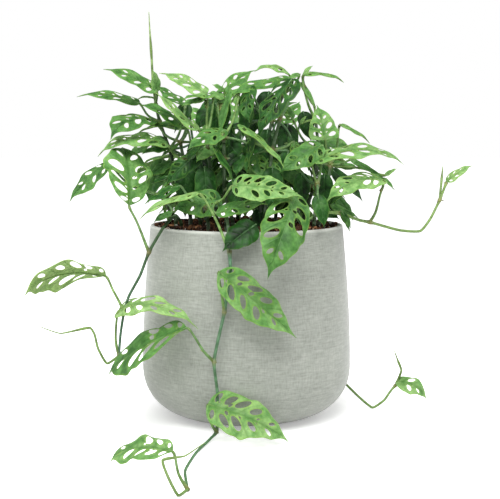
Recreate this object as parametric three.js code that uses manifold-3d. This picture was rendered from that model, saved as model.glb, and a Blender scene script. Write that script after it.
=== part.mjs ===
// A potted Monstera adansonii: a tapered planter, its potting soil, and the leafy stems that stand in it.
// Millimetres, +Z up, origin in the middle of the planter's foot. The front of the plant faces -Y.
import * as THREE from "three";
import { mergeVertices } from "three/addons/utils/BufferGeometryUtils.js";
import Module from "manifold-3d";

const wasm = await Module();
wasm.setup();

// Planter
const POT_HEIGHT = 201;
const RIM_RADIUS = 100.8;
const BELLY_RADIUS = 110;
const BELLY_HEIGHT = 52;
const FOOT_RADIUS = 54;
const FOOT_ROUNDNESS = 2.1;
const WALL = 4;
const FLOOR = 8;
const LIP = 1.5;
const POT_SIDES = 28;
const OUTSIDE_HEIGHTS = [0, 3, 10, 24, 60, 105, 155];
const INSIDE_HEIGHTS = [40, 110];

// Soil
const SOIL_LEVEL = 197;
const SOIL_RINGS = 3;
const LUMP = 3;
const LUMP_WAVE = [7.3, 6.1];
const LUMP_SWAY = [1.9, 1.3];
const LUMP_SWAY_WAVE = [11.1, 9.7];
const SEAT_GAP = 0.3;

// Stems
const STEM_FOOT = 168;
const STEM_HOLE_TOP = 230;
const HOLE_CLEARANCE = 1;
const STEM_HOLE_SIDES = 5;
const VINE_RADIUS = 1.7;
const STEM_RADIUS = 2.2;
const STALK_RADIUS = 1.1;
const SHOOT_RADIUS = 0.8;
const VINE_SIDES = 5;
const STEM_SIDES = 4;
const STEPS_PER_POINT = 1;
const STALK_SIDES = 3;
const STALK_STEPS = 3;
const INNER_STALK_STEPS = 2;
const STALK_SINK = 4;
const ROOT_SINK = 3;
const STALK_DROP = 0.3;
const KNEE_OUT = 0.6;
const KNEE_UP = 0.35;

// Leaf blades
const BLADE = 0.8;
const FOLD = THREE.MathUtils.degToRad(14);
const CURL = THREE.MathUtils.degToRad(40);
const HEEL = 0.8;
const POINT = 1.3;
const SHOULDER = 0.07;
const SHOULDER_END = 0.35;
const VEIN_LEAN = 0.85;
const VEIN_CURVE = 0.25;
const LARGE_STATIONS = [0, 0.1, 0.28, 0.45, 0.62, 0.81, 1];
const SMALL_STATIONS = [0, 0.15, 0.4, 0.68, 1];
const PLAIN_STATIONS = [0, 0.18, 0.55, 1];
const LARGE_LEAF = 62;
const FLAT_ARCH = 1;
const HOLE_INNER = 0.22;
const HOLE_OUTER = 0.84;
const HOLE_FILL = 0.34;

// Colours
const PLANTER_GREY = 0xb2b6ac;
const SOIL_BROWN = 0x3a2a20;
const VINE_GREEN = 0x5f9a48;
const STEM_GREEN = 0x4d8740;

const MERGE_DISTANCE = 1e-4;

function leaf(base, tip, face, arch, wide, node, more = {}) {
  return { base, tip, face, arch, wide, node, ...more };
}

// Each stem: its path, the leaves on it and its bare end shoots. A leaf is given by the place where its
// stalk meets the blade, its tip, the way its upper side faces, how many degrees it arches over, its
// width over its length, and the point of the path that its stalk grows from. A blade may also twist by
// some degrees from its base to its tip.
const stems = {
  vine_left: {
    radius: VINE_RADIUS,
    path: [[-66, -44, STEM_FOOT], [-66, -44, 194], [-66, -44, 205], [-71, -54, 214], [-76, -61, 210],
      [-83, -66, 202],
      [-97, -68, 178], [-106, -66, 155], [-118, -64, 133], [-123, -63, 117], [-127, -61, 94],
      [-129, -60, 72]],
    leaves: [
      leaf([-117, -60, 224], [-128, -15, 283], [5, -7, 6], 60, 0.74, 6,
        { via: [[-109, -64, 208]], heel: 1.4 }),
      leaf([-141, -60, 153], [-214, -116, 141], [-4, 5, 8], 63, 0.62, 9,
        { via: [[-128, -62, 128], [-134, -61, 139]], heel: 1.1, twist: -41 }),
      leaf([-129, -60, 118], [-45, -114, 110], [0, -4, 9], 72, 0.36, 11,
        { via: [[-132, -60, 88]], heel: 0.55, twist: 30 }),
    ],
    shoots: [[11, [-141, -60, 64], [-150, -61, 80], [-153, -62, 94], [-157, -63, 101],
      [-187, -66, 96], [-208, -70, 104]]],
  },
  vine_front: {
    radius: VINE_RADIUS,
    path: [[-20, -78, STEM_FOOT], [-20, -78, 194], [-20, -78, 209], [-19, -90, 215], [-18, -101, 210],
      [-16, -108, 194],
      [-16, -110, 183], [-15, -112, 166], [-21, -113, 125], [-31, -115, 77], [-28, -114, 48],
      [-28, -113, 24],
      [-29, -112, 7], [-35, -124, 3], [-46, -170, 3], [-53, -225, 2.6], [-48, -278, 2.6]],
    leaves: [
      leaf([9, -106, 209], [-23, -117, 184], [-2, -9, 4], 15, 0.7, 5, { holes: 0 }),
      leaf([-45, -95, 238], [-104, -98, 214], [-4, -2, 9], 35, 0.4, 6,
        { via: [[-31, -103, 217]], holes: 2 }),
      leaf([-26, -120, 165], [49, -122, 102], [4, -8, 5], 8, 0.44, 8,
        { via: [[-24, -116, 147]], heel: 0.9 }),
      leaf([-56, -122, 111], [-138, -88, 59], [-9, -1, 5], 34, 0.68, 9,
        { via: [[-40, -119, 87]], heel: 1.4, twist: 12 }),
      leaf([-37, -124, 37], [42, -132, 3], [3, -6, 7], 42, 0.6, 12, { heel: 0.8 }),
      leaf([-61, -262, 30], [-120, -224, 10], [-3, -3, 9], 58, 0.52, 16, { heel: 1.1 }),
    ],
    shoots: [[16, [-55, -292, 2], [-62, -290, 14], [-68, -284, 29], [-50, -278, 31], [-34, -270, 40]]],
  },
  vine_right: {
    radius: VINE_RADIUS,
    path: [[60, -40, STEM_FOOT], [60, -40, 194], [60, -40, 205], [76, -45, 216], [95, -38, 215],
      [117, -30, 207],
      [127, -27, 205], [159, -20, 196], [181, -16, 195], [191, -14, 207], [201, -12, 227],
      [208, -10, 245]],
    leaves: [
      leaf([138, -50, 249], [77, -76, 227], [-1, -5, 8], 75, 0.5, 6,
        { via: [[132, -32, 215], [135, -42, 232]] }),
      leaf([84, -22, 224], [106, -20, 238], [-4, -4, 8], 10, 0.4, 4, { holes: 0 }),
      leaf([86, -28, 223], [115, -30, 210], [3, -5, 8], 10, 0.4, 4, { holes: 0 }),
      leaf([96, -34, 217], [106, -36, 196], [7, -5, 4], 10, 0.4, 4, { holes: 0 }),
      leaf([208, -10, 246], [234, -12, 263], [-5, -5, 7], 20, 0.5, 11, { holes: 2 }),
    ],
    shoots: [[10, [204, -10, 262]]],
  },
  vine_right_rear: {
    radius: VINE_RADIUS,
    path: [[56, 46, STEM_FOOT], [56, 46, 194], [56, 46, 209], [65, 58, 220], [80, 74, 206],
      [86, 77, 170], [88, 80, 115],
      [92, 76, 62], [99, 60, 28], [110, 40, 20], [123, 20, 10], [136, 8, 2], [148, 5, 11],
      [154, 5, 20], [160, 6, 27]],
    leaves: [
      leaf([161, 6, 31], [193, 2, 12], [4, -6, 7], 85, 0.7, 14, { holes: 2 }),
      leaf([92, 110, 152], [72, 126, 96], [4, 8, 3], 30, 0.5, 5),
    ],
    shoots: [[14, [166, 6, 43], [162, 6, 54], [158, 6, 65]]],
  },
  stem_high_left: {
    path: [[-60, 15, STEM_FOOT], [-60, 15, 194], [-60, 15, 209], [-71, 20, 238], [-82, 22, 279],
      [-92, 20, 308], [-95, 4, 326]],
    leaves: [
      leaf([-92, -12, 339], [-146, -20, 362], [4, -5, 7], 35, 0.52, 6),
      leaf([-112, 12, 327], [-178, 8, 335], [1, -4, 9], 35, 0.45, 5),
      leaf([-65, 18, 325], [-97, 45, 347], [3, -4, 9], 10, 0.5, 4),
      leaf([-56, 24, 286], [-40, 10, 238], [2, -8, 4], 25, 0.5, 4, { holes: 0 }),
      leaf([-88, 14, 268], [-104, 8, 222], [-3, -8, 4], 25, 0.5, 3, { holes: 0 }),
      leaf([-87, 24, 289], [-129, 30, 271], [-2, -6, 8], 30, 0.5, 4, { holes: 2 }),
    ],
    shoots: [[6, [-97, -5, 351], [-98, -3, 371], [-100, 0, 402], [-101, 2, 421]]],
  },
  stem_mid_left: {
    path: [[-48, -8, STEM_FOOT], [-48, -8, 194], [-48, -8, 205], [-59, -10, 237], [-65, -8, 268],
      [-69, -6, 287]],
    leaves: [
      leaf([-60, -18, 302], [-109, -28, 326], [5, -4, 8], 30, 0.5, 5),
      leaf([-93, 5, 305], [-137, -48, 290], [-3, -7, 7], 85, 0.62, 5, { heel: 1.3 }),
      leaf([-63, 0, 306], [-104, 3, 303], [-1, -3, 9], 15, 0.42, 5, { holes: 2 }),
      leaf([-80, -22, 283], [-153, -28, 273], [-1, -4, 9], 85, 0.44, 4),
      leaf([-78, 5, 266], [-104, -4, 249], [-3, -6, 7], 25, 0.55, 4, { holes: 0 }),
      leaf([-48, -14, 270], [-76, -22, 246], [-3, -7, 6], 25, 0.5, 4, { holes: 0 }),
    ],
  },
  stem_centre_left: {
    path: [[-30, -35, STEM_FOOT], [-30, -35, 194], [-30, -35, 205], [-35, -40, 249], [-39, -40, 279],
      [-40, -38, 294]],
    leaves: [
      leaf([-48, -38, 299], [-91, -46, 338], [7, -3, 6], -12, 0.42, 5, { holes: 2 }),
      leaf([-40, -36, 335], [-89, -20, 358], [4, -5, 7], 25, 0.48, 5),
      leaf([-34, -35, 333], [-63, -60, 330], [1, -2, 10], 20, 0.4, 5, { holes: 2 }),
      leaf([-55, -45, 271], [-81, -48, 244], [-2, -9, 3], 20, 0.55, 4),
    ],
  },
  stem_centre: {
    path: [[-14, -34, STEM_FOOT], [-14, -34, 194], [-14, -34, 205], [-22, -44, 239], [-22, -47, 270],
      [-23, -48, 292]],
    leaves: [
      leaf([-29, -10, 327], [10, 17, 363], [-3, -5, 8], 40, 0.55, 5),
      leaf([-21, -58, 299], [-58, -85, 280], [0, -6, 8], 20, 0.5, 5),
      leaf([-32, -66, 284], [-11, -84, 242], [9, -2, 5], 20, 0.42, 4, { holes: 2 }),
      leaf([-15, -31, 306], [-19, -38, 250], [-4, -9, 2], 30, 0.5, 5),
    ],
  },
  stem_centre_back: {
    path: [[14, -6, STEM_FOOT], [14, -6, 194], [14, -6, 205], [16, -12, 248], [20, -10, 279],
      [27, -6, 310], [39, -3, 337]],
    leaves: [
      leaf([46, 8, 355], [8, -4, 360], [1, -3, 9], 85, 0.6, 6, { holes: 2 }),
      leaf([46, -15, 352], [-18, -22, 334], [-2, -5, 9], 20, 0.42, 6),
      leaf([4, -20, 343], [3, -45, 306], [-6, -7, 5], 40, 0.5, 5),
      leaf([35, -10, 324], [52, -8, 328], [-1, -5, 8], 0, 0.35, 5, { holes: 0 }),
      leaf([30, 4, 268], [64, -14, 234], [3, -7, 6], 25, 0.5, 3, { holes: 0 }),
      leaf([8, 8, 262], [-16, 2, 222], [-2, -8, 5], 25, 0.5, 3, { holes: 0 }),
      leaf([22, -22, 300], [14, -30, 252], [0, -9, 3], 25, 0.5, 4, { holes: 0 }),
    ],
  },
  stem_centre_front: {
    path: [[18, -50, STEM_FOOT], [18, -50, 194], [18, -50, 205], [22, -52, 249], [26, -50, 279],
      [34, -44, 311]],
    leaves: [
      leaf([46, -45, 350], [11, -62, 291], [-6, -6, 6], 30, 0.62, 5, { heel: 0.55 }),
      leaf([-6, -60, 304], [38, -88, 263], [6, -2, 8], 20, 0.42, 4, { heel: 0.55 }),
      leaf([6, -55, 294], [0, -62, 254], [-9, -5, 2], 20, 0.4, 4, { holes: 2, heel: 0.55 }),
    ],
  },
  stem_front_right: {
    path: [[45, -79, STEM_FOOT], [45, -79, 194], [45, -80, 208], [50, -98, 227]],
    leaves: [
      leaf([48, -112, 239], [20, -150, 161], [3, -5, 7], 38, 0.5, 3, { heel: 0.95 }),
    ],
  },
  stem_front_left: {
    path: [[-38, -62, STEM_FOOT], [-38, -62, 194], [-38, -62, 205], [-40, -70, 224]],
    leaves: [
      leaf([-13, -106, 246], [54, -126, 237], [-2, -8, 6], 42, 0.42, 3, { heel: 0.8 }),
      leaf([-24, -80, 231], [-73, -86, 222], [0, -9, 5], 10, 0.62, 3),
      leaf([-29, -98, 219], [21, -104, 229], [-2, -5, 8], 20, 0.48, 3),
      leaf([-66, -60, 244], [-102, -62, 226], [-4, -5, 8], 20, 0.45, 3, { holes: 2 }),
    ],
  },
  stem_low_left: {
    path: [[-74, -8, STEM_FOOT], [-74, -8, 194], [-74, -8, 206], [-89, -15, 232]],
    leaves: [
      leaf([-81, -20, 252], [-99, -22, 244], [-3, -5, 8], 10, 0.4, 3, { holes: 0 }),
      leaf([-142, -21, 264], [-183, -24, 226], [-5, -6, 6], 30, 0.54, 3),
    ],
  },
  stem_high_right: {
    path: [[62, 20, STEM_FOOT], [62, 20, 194], [62, 20, 209], [71, 18, 238], [76, 16, 278],
      [73, 14, 310]],
    leaves: [
      leaf([59, 0, 356], [102, 2, 349], [2, -2, 10], 50, 0.5, 5),
      leaf([72, 13, 323], [54, 8, 350], [8, -3, 5], 10, 0.3, 5, { holes: 0 }),
      leaf([49, 15, 311], [36, 15, 327], [4, -8, 4], 10, 0.7, 4, { holes: 2 }),
      leaf([90, 20, 258], [124, 12, 224], [4, -6, 7], 30, 0.5, 3, { holes: 0 }),
      leaf([80, 24, 289], [112, 18, 279], [2, -7, 6], 25, 0.5, 4, { holes: 0 }),
      leaf([76, 28, 236], [106, 26, 210], [3, -7, 5], 25, 0.5, 3, { holes: 0 }),
    ],
  },
  stem_right: {
    path: [[76, -8, STEM_FOOT], [76, -8, 194], [76, -8, 205], [83, -12, 237], [87, -14, 263]],
    leaves: [
      leaf([81, -22, 289], [73, -4, 326], [2, -8, 5], 20, 0.8, 4, { heel: 0.4 }),
      leaf([98, 0, 305], [129, -4, 286], [5, -3, 8], 30, 0.35, 4, { holes: 2 }),
      leaf([88, -10, 265], [118, -10, 259], [2, -6, 8], 10, 0.45, 4, { holes: 0 }),
      leaf([94, -4, 230], [112, -8, 205], [4, -7, 5], 25, 0.5, 3, { holes: 0 }),
      leaf([109, -20, 270], [154, -22, 238], [5, -4, 7], 10, 0.16, 4, { holes: 0, heel: 0.55 }),
      leaf([143, -20, 253], [155, -20, 260], [-4, -5, 7], 10, 0.5, 4, { holes: 0 }),
    ],
  },
  stem_right_front: {
    path: [[68, -58, STEM_FOOT], [68, -58, 194], [68, -58, 205], [71, -60, 245]],
    leaves: [
      leaf([66, -60, 267], [159, -50, 266], [0, -4, 9], 68, 0.35, 3),
      leaf([76, -55, 284], [32, -70, 257], [0, -8, 5], 20, 0.52, 3),
      leaf([70, -82, 236], [76, -90, 204], [1, -9, 3], 25, 0.5, 3, { holes: 0 }),
    ],
  },
  stem_back_left: {
    path: [[-45, 48, STEM_FOOT], [-45, 48, 194], [-45, 48, 205], [-50, 54, 240], [-52, 56, 270]],
    leaves: [
      leaf([-72, 62, 272], [-128, 92, 246], [-4, 3, 9], 45, 0.5, 4, { holes: 3 }),
      leaf([-58, 72, 246], [-92, 110, 190], [-6, 7, 4], 35, 0.5, 3, { holes: 3 }),
      leaf([-44, 70, 296], [-62, 108, 326], [2, -5, 8], 35, 0.5, 4),
      leaf([-64, 44, 300], [-120, 48, 296], [0, 1, 10], 50, 0.45, 4),
      leaf([-62, 42, 266], [-104, 36, 238], [-3, -6, 7], 30, 0.5, 3, { holes: 0 }),
      leaf([-34, 35, 331], [-54, 28, 297], [-2, -8, 5], 25, 0.55, 4, { holes: 0 }),
      leaf([-63, 40, 328], [-78, 34, 296], [-2, -8, 5], 25, 0.55, 4, { holes: 0 }),
      leaf([-56, 74, 226], [-100, 84, 206], [-2, 4, 9], 40, 0.5, 3, { holes: 0 }),
    ],
  },
  stem_back_centre: {
    path: [[-10, 66, STEM_FOOT], [-10, 66, 194], [-10, 66, 205], [-12, 70, 240], [-12, 70, 272]],
    leaves: [
      leaf([-20, 88, 262], [-42, 142, 222], [-1, 7, 7], 45, 0.5, 3, { holes: 3 }),
      leaf([0, 84, 286], [16, 138, 274], [0, 2, 10], 50, 0.5, 4),
      leaf([-14, 72, 300], [-8, 104, 342], [0, -6, 6], 30, 0.5, 4),
      leaf([6, 84, 232], [14, 124, 176], [1, 9, 4], 30, 0.5, 3, { holes: 3 }),
      leaf([-4, 50, 284], [-10, 24, 232], [0, -8, 5], 25, 0.46, 4, { holes: 0 }),
      leaf([-20, 52, 298], [-45, 36, 264], [-3, -7, 6], 25, 0.5, 4, { holes: 0 }),
      leaf([8, 46, 319], [-1, 40, 285], [0, -8, 5], 25, 0.55, 4, { holes: 0, heel: 0.55 }),
      leaf([-24, 90, 236], [-60, 118, 184], [-4, 8, 5], 30, 0.5, 3, { holes: 0 }),
    ],
  },
  stem_back_right: {
    path: [[32, 56, STEM_FOOT], [32, 56, 194], [32, 56, 205], [38, 60, 240], [40, 60, 272]],
    leaves: [
      leaf([62, 62, 278], [118, 82, 256], [3, 3, 9], 45, 0.5, 4, { holes: 3 }),
      leaf([50, 80, 254], [86, 124, 214], [5, 7, 6], 45, 0.5, 3, { holes: 3 }),
      leaf([40, 66, 300], [60, 98, 332], [-2, -5, 8], 30, 0.5, 4),
      leaf([54, 48, 250], [108, 40, 226], [3, -2, 9], 40, 0.42, 3),
      leaf([44, 38, 306], [42, 16, 256], [1, -8, 5], 25, 0.46, 4, { holes: 0 }),
      leaf([58, 44, 286], [88, 32, 248], [3, -7, 6], 25, 0.5, 4, { holes: 0 }),
      leaf([24, 30, 340], [12, 22, 293], [-1, -8, 5], 25, 0.5, 4, { holes: 0 }),
      leaf([61, 44, 319], [70, 38, 287], [1, -8, 5], 25, 0.55, 4, { holes: 0 }),
      leaf([46, 84, 224], [76, 112, 172], [5, 8, 4], 30, 0.5, 3, { holes: 0 }),
    ],
  },
};

const vector = ([x, y, z]) => new THREE.Vector3(x, y, z);

function solidOf(geometry) {
  const bare = geometry.clone();
  for (const name of Object.keys(bare.attributes)) {
    if (name !== "position") bare.deleteAttribute(name);
  }
  const merged = mergeVertices(bare, MERGE_DISTANCE);
  return new wasm.Manifold(new wasm.Mesh({
    numProp: 3,
    vertProperties: new Float32Array(merged.attributes.position.array),
    triVerts: new Uint32Array(merged.index.array),
  }));
}

function geometryOf(solid) {
  const mesh = solid.getMesh();
  const geometry = new THREE.BufferGeometry();
  geometry.setAttribute("position", new THREE.BufferAttribute(new Float32Array(mesh.vertProperties), 3));
  geometry.setIndex(new THREE.BufferAttribute(new Uint32Array(mesh.triVerts), 1));
  const faceted = geometry.toNonIndexed();
  faceted.computeVertexNormals();
  return faceted;
}

// ---- planter: a lathe of one closed profile, wall and floor alike ----
function wallRadius(height) {
  if (height >= BELLY_HEIGHT) {
    const rise = (height - BELLY_HEIGHT) / (POT_HEIGHT - BELLY_HEIGHT);
    return RIM_RADIUS + (BELLY_RADIUS - RIM_RADIUS) * Math.cos((rise * Math.PI) / 2);
  }
  const turn = 1 - height / BELLY_HEIGHT;
  const bulge = (1 - turn ** FOOT_ROUNDNESS) ** (1 / FOOT_ROUNDNESS);
  return FOOT_RADIUS + (BELLY_RADIUS - FOOT_RADIUS) * bulge;
}

function potGeometry() {
  const profile = [
    [0, 0],
    ...OUTSIDE_HEIGHTS.map((z) => [wallRadius(z), z]),
    [RIM_RADIUS, POT_HEIGHT - LIP],
    [RIM_RADIUS - LIP, POT_HEIGHT],
    [RIM_RADIUS - WALL + LIP, POT_HEIGHT],
    ...INSIDE_HEIGHTS.toReversed().map((z) => [wallRadius(z) - WALL, z]),
    [FOOT_RADIUS, FLOOR],
    [0, FLOOR],
  ].map(([r, z]) => new THREE.Vector2(r, z));
  return new THREE.LatheGeometry(profile, POT_SIDES).rotateX(Math.PI / 2);
}

// ---- soil: it fills the planter, with a lumpy top made by a formula and a plain hole for each stem ----
function lumps(x, y) {
  const across = x / LUMP_WAVE[0] + LUMP_SWAY[0] * Math.sin(y / LUMP_SWAY_WAVE[0]);
  const along = y / LUMP_WAVE[1] + LUMP_SWAY[1] * Math.sin(x / LUMP_SWAY_WAVE[1]);
  return Math.sin(across) * Math.cos(along);
}

function soilSolid() {
  const gap = SEAT_GAP / Math.cos(Math.PI / POT_SIDES);
  const edge = RIM_RADIUS - WALL - gap;
  const rings = [
    { radius: FOOT_RADIUS - gap, height: FLOOR + SEAT_GAP, lump: 0 },
    ...INSIDE_HEIGHTS.map((height) => ({ radius: wallRadius(height) - WALL - gap, height, lump: 0 })),
    { radius: edge, height: SOIL_LEVEL - LUMP, lump: 0 },
  ];
  for (let ring = SOIL_RINGS; ring >= 1; ring--) {
    rings.push({ radius: (edge * ring) / SOIL_RINGS - SEAT_GAP, height: SOIL_LEVEL, lump: LUMP });
  }
  const corners = [0, 0, FLOOR + SEAT_GAP];
  for (const { radius, height, lump } of rings) {
    for (let turn = 0; turn < POT_SIDES; turn++) {
      const angle = (turn / POT_SIDES) * 2 * Math.PI;
      const [x, y] = [radius * Math.cos(angle), radius * Math.sin(angle)];
      corners.push(x, y, height + lump * lumps(x, y));
    }
  }
  corners.push(0, 0, SOIL_LEVEL);
  const top = corners.length / 3 - 1;
  const at = (ring, turn) => 1 + ring * POT_SIDES + (turn % POT_SIDES);
  const index = [];
  for (let turn = 0; turn < POT_SIDES; turn++) {
    index.push(0, at(0, turn + 1), at(0, turn));
    for (let ring = 0; ring + 1 < rings.length; ring++) {
      index.push(at(ring, turn), at(ring, turn + 1), at(ring + 1, turn));
      index.push(at(ring, turn + 1), at(ring + 1, turn + 1), at(ring + 1, turn));
    }
    index.push(at(rings.length - 1, turn), at(rings.length - 1, turn + 1), top);
  }
  const geometry = new THREE.BufferGeometry();
  geometry.setAttribute("position", new THREE.Float32BufferAttribute(corners, 3));
  geometry.setIndex(index);
  return Object.values(stems).reduce((soil, stem) => soil.subtract(stemHole(stem)), solidOf(geometry));
}

function stemHole(stem) {
  const [x, y] = stem.path[0];
  const radius = stemRadius(stem) + HOLE_CLEARANCE;
  const base = STEM_FOOT - SEAT_GAP;
  const hole = new THREE.CylinderGeometry(radius, radius, STEM_HOLE_TOP - base, STEM_HOLE_SIDES);
  return solidOf(hole.rotateX(Math.PI / 2).translate(x, y, (STEM_HOLE_TOP + base) / 2));
}

// ---- stems and stalks: round tubes along smooth curves ----
const stemRadius = (stem) => stem.radius ?? STEM_RADIUS;
const stemSides = (stem) => (stem.radius ? VINE_SIDES : STEM_SIDES);

function tube(points, radius, sides, steps) {
  const section = new THREE.Shape();
  for (let side = 0; side < sides; side++) {
    const angle = (side / sides) * 2 * Math.PI;
    const [x, y] = [radius * Math.cos(angle), radius * Math.sin(angle)];
    if (side === 0) section.moveTo(x, y);
    else section.lineTo(x, y);
  }
  section.closePath();
  const curve = new THREE.CatmullRomCurve3(points, false, "centripetal");
  return solidOf(new THREE.ExtrudeGeometry(section, { steps, bevelEnabled: false, extrudePath: curve }));
}

// ---- leaf blades ----
// q runs from the stalk (0) to the tip (1), and t from the midrib (0) to either edge (1 or -1).
// Lines of one q are the side veins, which slant towards the tip as they go out.
function edgeWidth(q, heel) {
  const widest = heel / (heel + POINT);
  return (q ** heel * (1 - q) ** POINT) / (widest ** heel * (1 - widest) ** POINT);
}

// The line that leaves the midrib at this share of its length.
function lineAt(share) {
  const lead = 1 - VEIN_LEAN;
  return (Math.sqrt(lead * lead + 4 * VEIN_LEAN * share) - lead) / (2 * VEIN_LEAN);
}

function bladeFrame({ base, tip, face, arch, wide, heel = HEEL, twist = 0 }) {
  const start = vector(base);
  const chord = vector(tip).sub(start);
  const along = chord.clone().normalize();
  const side = along.clone().cross(vector(face)).normalize();
  const up = side.clone().cross(along);
  const bend = THREE.MathUtils.degToRad(Math.abs(arch) > FLAT_ARCH ? arch : FLAT_ARCH);
  const length = (chord.length() * bend) / 2 / Math.sin(bend / 2);
  const half = (wide * chord.length()) / 2;
  return { start, along, side, up, bend, length, half, heel, twist: THREE.MathUtils.degToRad(twist) };
}

function bladePoint(frame, q, t, lift) {
  const { start, along, up, bend, length, half, heel, twist } = frame;
  const out = Math.abs(t);
  const rib = q * (1 - VEIN_LEAN * (1 - q));
  const edge = q - SHOULDER * Math.sin(Math.PI * Math.min(1, q / SHOULDER_END));
  const s = rib + (edge - rib) * ((1 - VEIN_CURVE) * out + VEIN_CURVE * out * out);
  const turn = bend / 2 - bend * s;
  const width = out * edgeWidth(q, heel) * half;
  const tightness = CURL / half;
  const tilt = FOLD - tightness * width;
  const across = ((Math.sin(FOLD) - Math.sin(tilt)) / tightness) * Math.sign(t);
  const rise = (Math.cos(tilt) - Math.cos(FOLD)) / tightness;
  const lean = twist * (s - 0.5);
  const ahead = up.clone().multiplyScalar(Math.sin(turn)).addScaledVector(along, Math.cos(turn));
  const side = frame.side.clone().applyAxisAngle(ahead, -lean);
  const normal = side.clone().cross(ahead);
  const skin = t === 0 ? normal : normal.clone().multiplyScalar(Math.cos(tilt))
    .addScaledVector(side, -Math.sin(tilt) * Math.sign(t));
  return start.clone()
    .addScaledVector(along, (length / bend) * (Math.sin(bend / 2) - Math.sin(turn)))
    .addScaledVector(up, (length / bend) * (Math.cos(turn) - Math.cos(bend / 2)))
    .addScaledVector(side, across)
    .addScaledVector(normal, rise)
    .addScaledVector(skin, lift);
}

// Which gaps between side veins hold a hole, on the right and left half, for each number of holes.
const HOLE_GAPS = {
  0: [[], []],
  2: [[1], [2]],
  3: [[1, 2], [1]],
  5: [[1, 2, 4], [1, 3]],
};
const STATIONS = { 0: PLAIN_STATIONS, 2: SMALL_STATIONS, 3: SMALL_STATIONS, 5: LARGE_STATIONS };

function bladeSolid(spec) {
  const frame = bladeFrame(spec);
  const count = spec.holes ?? (frame.length > LARGE_LEAF ? 5 : 2);
  const holes = HOLE_GAPS[count];
  const stations = STATIONS[count];
  const corners = [];
  const index = [];
  const place = new Map();
  const corner = (q, t) => {
    const key = `${q.toFixed(4)},${(q === 0 || q === 1 ? 0 : t).toFixed(4)}`;
    if (!place.has(key)) {
      place.set(key, corners.length / 2);
      corners.push(bladePoint(frame, q, t, BLADE / 2), bladePoint(frame, q, t, -BLADE / 2));
    }
    return place.get(key);
  };
  const face = (a, b, c) => {
    index.push(2 * a, 2 * b, 2 * c);
    index.push(2 * a + 1, 2 * c + 1, 2 * b + 1);
  };
  const wall = (a, b) => {
    index.push(2 * a, 2 * a + 1, 2 * b + 1);
    index.push(2 * a, 2 * b + 1, 2 * b);
  };
  for (const [which, sign] of [[0, 1], [1, -1]]) {
    for (let gap = 0; gap + 1 < stations.length; gap++) {
      const [from, to] = [stations[gap], stations[gap + 1]];
      const outline = [[from, 0], [to, 0], [to, 1], [from, 1]]
        .filter(([q, t]) => t === 0 || (q > 0 && q < 1));
      const middle = (from + to) / 2;
      const reach = (to - from) * HOLE_FILL;
      const belly = (HOLE_INNER + HOLE_OUTER) / 2;
      const [near, far] = [middle - reach, middle + reach];
      const slit = [[middle, HOLE_INNER], [near, belly], [middle, HOLE_OUTER], [far, belly]];
      const hole = holes[which].includes(gap) ? slit : null;
      const flatOutline = outline.map(([q, t]) => new THREE.Vector2(q, t));
      const flatHole = hole ? [hole.map(([q, t]) => new THREE.Vector2(q, t))] : [];
      const ids = [...outline, ...(hole ?? [])].map(([q, t]) => corner(q, t * sign));
      for (const [a, b, c] of THREE.ShapeUtils.triangulateShape(flatOutline, flatHole)) {
        if (sign > 0) face(ids[a], ids[c], ids[b]);
        else face(ids[a], ids[b], ids[c]);
      }
      const inner = from === 0 ? corner(0, 0) : corner(from, sign);
      const outer = to === 1 ? corner(1, 0) : corner(to, sign);
      if (sign > 0) wall(inner, outer);
      else wall(outer, inner);
      for (let side = 0; hole && side < 4; side++) {
        const [a, b] = [ids[outline.length + side], ids[outline.length + ((side + 1) % 4)]];
        if (sign > 0) wall(b, a);
        else wall(a, b);
      }
    }
  }
  const geometry = new THREE.BufferGeometry();
  const flat = corners.flatMap((place) => place.toArray());
  geometry.setAttribute("position", new THREE.Float32BufferAttribute(flat, 3));
  geometry.setIndex(index);
  return solidOf(geometry);
}

function stalkSolid(spec, root) {
  const frame = bladeFrame(spec);
  const joint = frame.start.clone().addScaledVector(frame.up, -STALK_DROP);
  const end = bladePoint(frame, lineAt(STALK_SINK / frame.length), 0, -STALK_DROP);
  const points = [root, ...(spec.via ?? []).map(vector), joint, end];
  if (!spec.via) {
    const knee = root.clone().lerp(frame.start, KNEE_OUT);
    knee.z = root.z + (frame.start.z - root.z) * KNEE_UP;
    points.splice(1, 0, knee);
  }
  const steps = spec.holes === 0 ? INNER_STALK_STEPS : STALK_STEPS;
  return tube(points, STALK_RADIUS, STALK_SIDES, steps + (spec.via?.length ?? 0));
}

function stemSolid(stem) {
  const path = stem.path.map(vector);
  let solid = tube(path, stemRadius(stem), stemSides(stem), Math.round(path.length * STEPS_PER_POINT));
  for (const spec of stem.leaves) {
    const back = path[spec.node - 1].clone().sub(path[spec.node]).setLength(ROOT_SINK);
    solid = solid.add(stalkSolid(spec, path[spec.node].clone().add(back))).add(bladeSolid(spec));
  }
  for (const [node, ...points] of stem.shoots ?? []) {
    const route = [path[node], ...points.map(vector)];
    solid = solid.add(tube(route, SHOOT_RADIUS, STALK_SIDES, route.length));
  }
  return solid.decompose().reduce((kept, shell) => (shell.volume() > kept.volume() ? shell : kept));
}

// ---- the assembly ----
const plant = new THREE.Group();

function addPart(name, geometry, color, roughness) {
  const material = new THREE.MeshStandardMaterial({ color, roughness, metalness: 0 });
  const mesh = new THREE.Mesh(geometry, material);
  mesh.name = name;
  plant.add(mesh);
}

addPart("planter", potGeometry(), PLANTER_GREY, 0.8);
addPart("soil", geometryOf(soilSolid()), SOIL_BROWN, 0.95);
for (const [name, stem] of Object.entries(stems)) {
  addPart(name, geometryOf(stemSolid(stem)), name.startsWith("vine") ? VINE_GREEN : STEM_GREEN, 0.45);
}

export default plant;
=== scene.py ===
"""A potted Monstera adansonii: finished leaves, stalks, soil and planter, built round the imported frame."""
import math
import random

import bmesh
import bpy
from mathutils import Matrix, Vector, noise
from mathutils.geometry import interpolate_bezier


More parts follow.
